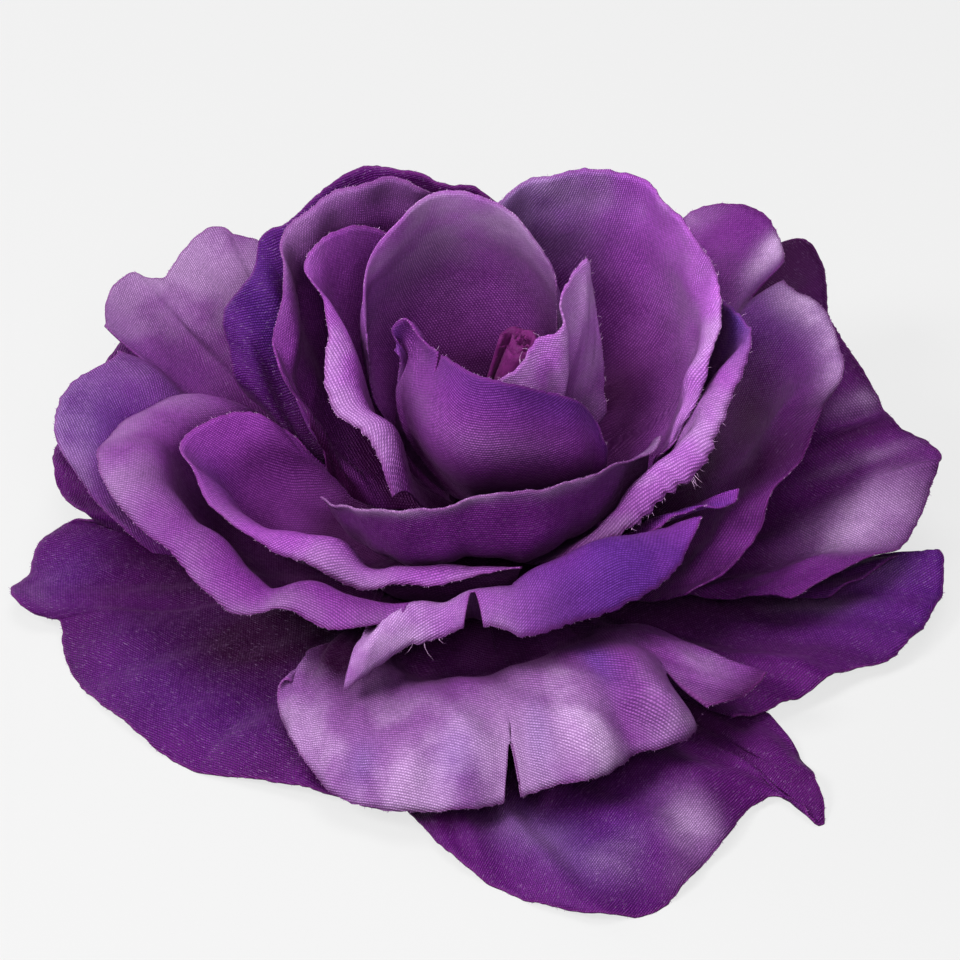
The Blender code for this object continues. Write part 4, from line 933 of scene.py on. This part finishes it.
def yarn_ends(name, roots, directions, lengths, tones, girth, material, seed):
    """Loose yarn ends as one piece: each a three-sided tube that tapers and curls away from its root.

    The curl moves the tube sideways by a random share of its length times the square of the way
    along. Places, lengths and girth are in millimetres.
    """
    rng = np.random.default_rng(seed)
    steps = np.linspace(0, 1, 4)
    side = unit(np.cross(directions, rng.normal(size=directions.shape)))
    other = np.cross(directions, side)
    curl = rng.uniform(-0.7, 0.7, (len(roots), 2))
    along = lengths[:, None, None] * steps[None, :, None]
    bent = (side * curl[:, :1] + other * curl[:, 1:])[:, None] * along * steps[None, :, None]
    middle = roots[:, None] + directions[:, None] * along + bent
    turn = np.radians([90, 210, 330])
    ring = side[:, None] * np.cos(turn)[:, None] + other[:, None] * np.sin(turn)[:, None]
    points = middle[:, :, None] + ring[:, None] * (girth / 2 * (1 - 0.6 * steps))[:, None, None]
    points[..., 2] = np.maximum(points[..., 2], 0.03)
    number = np.arange(points.size // 3).reshape(points.shape[:3])
    near, far = number[:, :-1], number[:, 1:]
    walls = np.stack([near, np.roll(near, -1, axis=2), np.roll(far, -1, axis=2), far], axis=-1)
    ends = number[:, 0, ::-1].tolist() + number[:, -1].tolist()
    piece = shown(name, points, walls.reshape(-1, 4).tolist() + ends, material)
    set_values(piece, "tone", np.repeat(tones, points[0].size // 3))


def yarn_material(name, dark, pale_and_highlight):
    """Principled yarn: dark dye to pale (partly painted highlight) by tone, mottled, with a soft sheen."""
    yarn, w, shader = new_material(name)
    place = w.node("ShaderNodeTexCoord").outputs["Object"]
    tone = w.node("ShaderNodeAttribute", attribute_name="tone").outputs["Fac"]
    mottle = w.noise(place, 900, 2.0)
    paleness = w.maths("MULTIPLY_ADD", mottle, 0.5, tone, clamp=True)
    w.feed(shader.inputs["Base Color"], w.mix(paleness, dark, pale_and_highlight))
    w.feed(shader.inputs["Normal"], w.bump(w.noise(place, 4200, 2.0), 0.8, 0.15 * MM).outputs[0])
    w.feed(shader.inputs["Roughness"], w.ramp(mottle, 0.2, 0.8, 0.5, 0.7))
    preset(shader, {"Specular IOR Level": 0.15, "Sheen Weight": 0.08, "Sheen Tint": (0.9, 0.4, 0.8, 1)})
    return yarn


# The roll is a spiral that widens as it winds, leans over as it rises, and ends in an uneven top.
tuft_pile = yarn_material("tuft_pile", TUFT_COLOUR, TUFT_PALE)
wound = np.repeat(np.linspace(0, 1, TUFT_COLUMNS)[:, None], TUFT_ROWS, axis=1)
up = np.repeat(np.linspace(0, 1, TUFT_ROWS)[None, :], TUFT_COLUMNS, axis=0)
angle = 2 * math.pi * TUFT_TURNS * wound + 0.6
radius = 0.35 + 1.55 * wound + 0.10 * np.sin(3 * angle)
uneven_top = 0.8 * np.sin(angle * 0.5 + 0.4) + 0.15 * np.sin(5.3 * angle)
height = TUFT_TOP - TUFT_HEIGHT + (TUFT_HEIGHT + 0.6) * up + up**3 * uneven_top
tuft_points = np.stack([radius * np.cos(angle) + 0.9 + 3.3 * up**1.3,
                        radius * np.sin(angle) + 0.3 + 0.5 * up, height], axis=-1)
tuft_faces = grid_faces(TUFT_COLUMNS, TUFT_ROWS).reshape(-1, 4).tolist()
tuft_roll = shown("tuft_roll", tuft_points, tuft_faces, tuft_pile, TUFT_CLOTH)
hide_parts("centre_tuft")

rng = np.random.default_rng(5)
column = rng.integers(0, TUFT_COLUMNS, PILE_ENDS)
row = rng.integers(PILE_FOOT, TUFT_ROWS, PILE_ENDS)
away = unit(tuft_points[column, row] * (1, 1, 0) + (0, 0, 1.2) + rng.normal(0, 1.0, (PILE_ENDS, 3)))
yarn_ends("tuft_pile", tuft_points[column, row], away, rng.uniform(0.2, 0.9, PILE_ENDS),
          rng.uniform(0, 0.6, PILE_ENDS), PILE_GIRTH, tuft_pile, seed=6)
loose_yarn = yarn_material("loose_yarn", YARN_COLOUR, YARN_PALE_AND_HIGHLIGHT)
rim_yarns = [np.concatenate(parts) for parts in zip(*frayed)]
yarn_ends("rim_yarns", *rim_yarns, YARN_GIRTH, loose_yarn, seed=7)
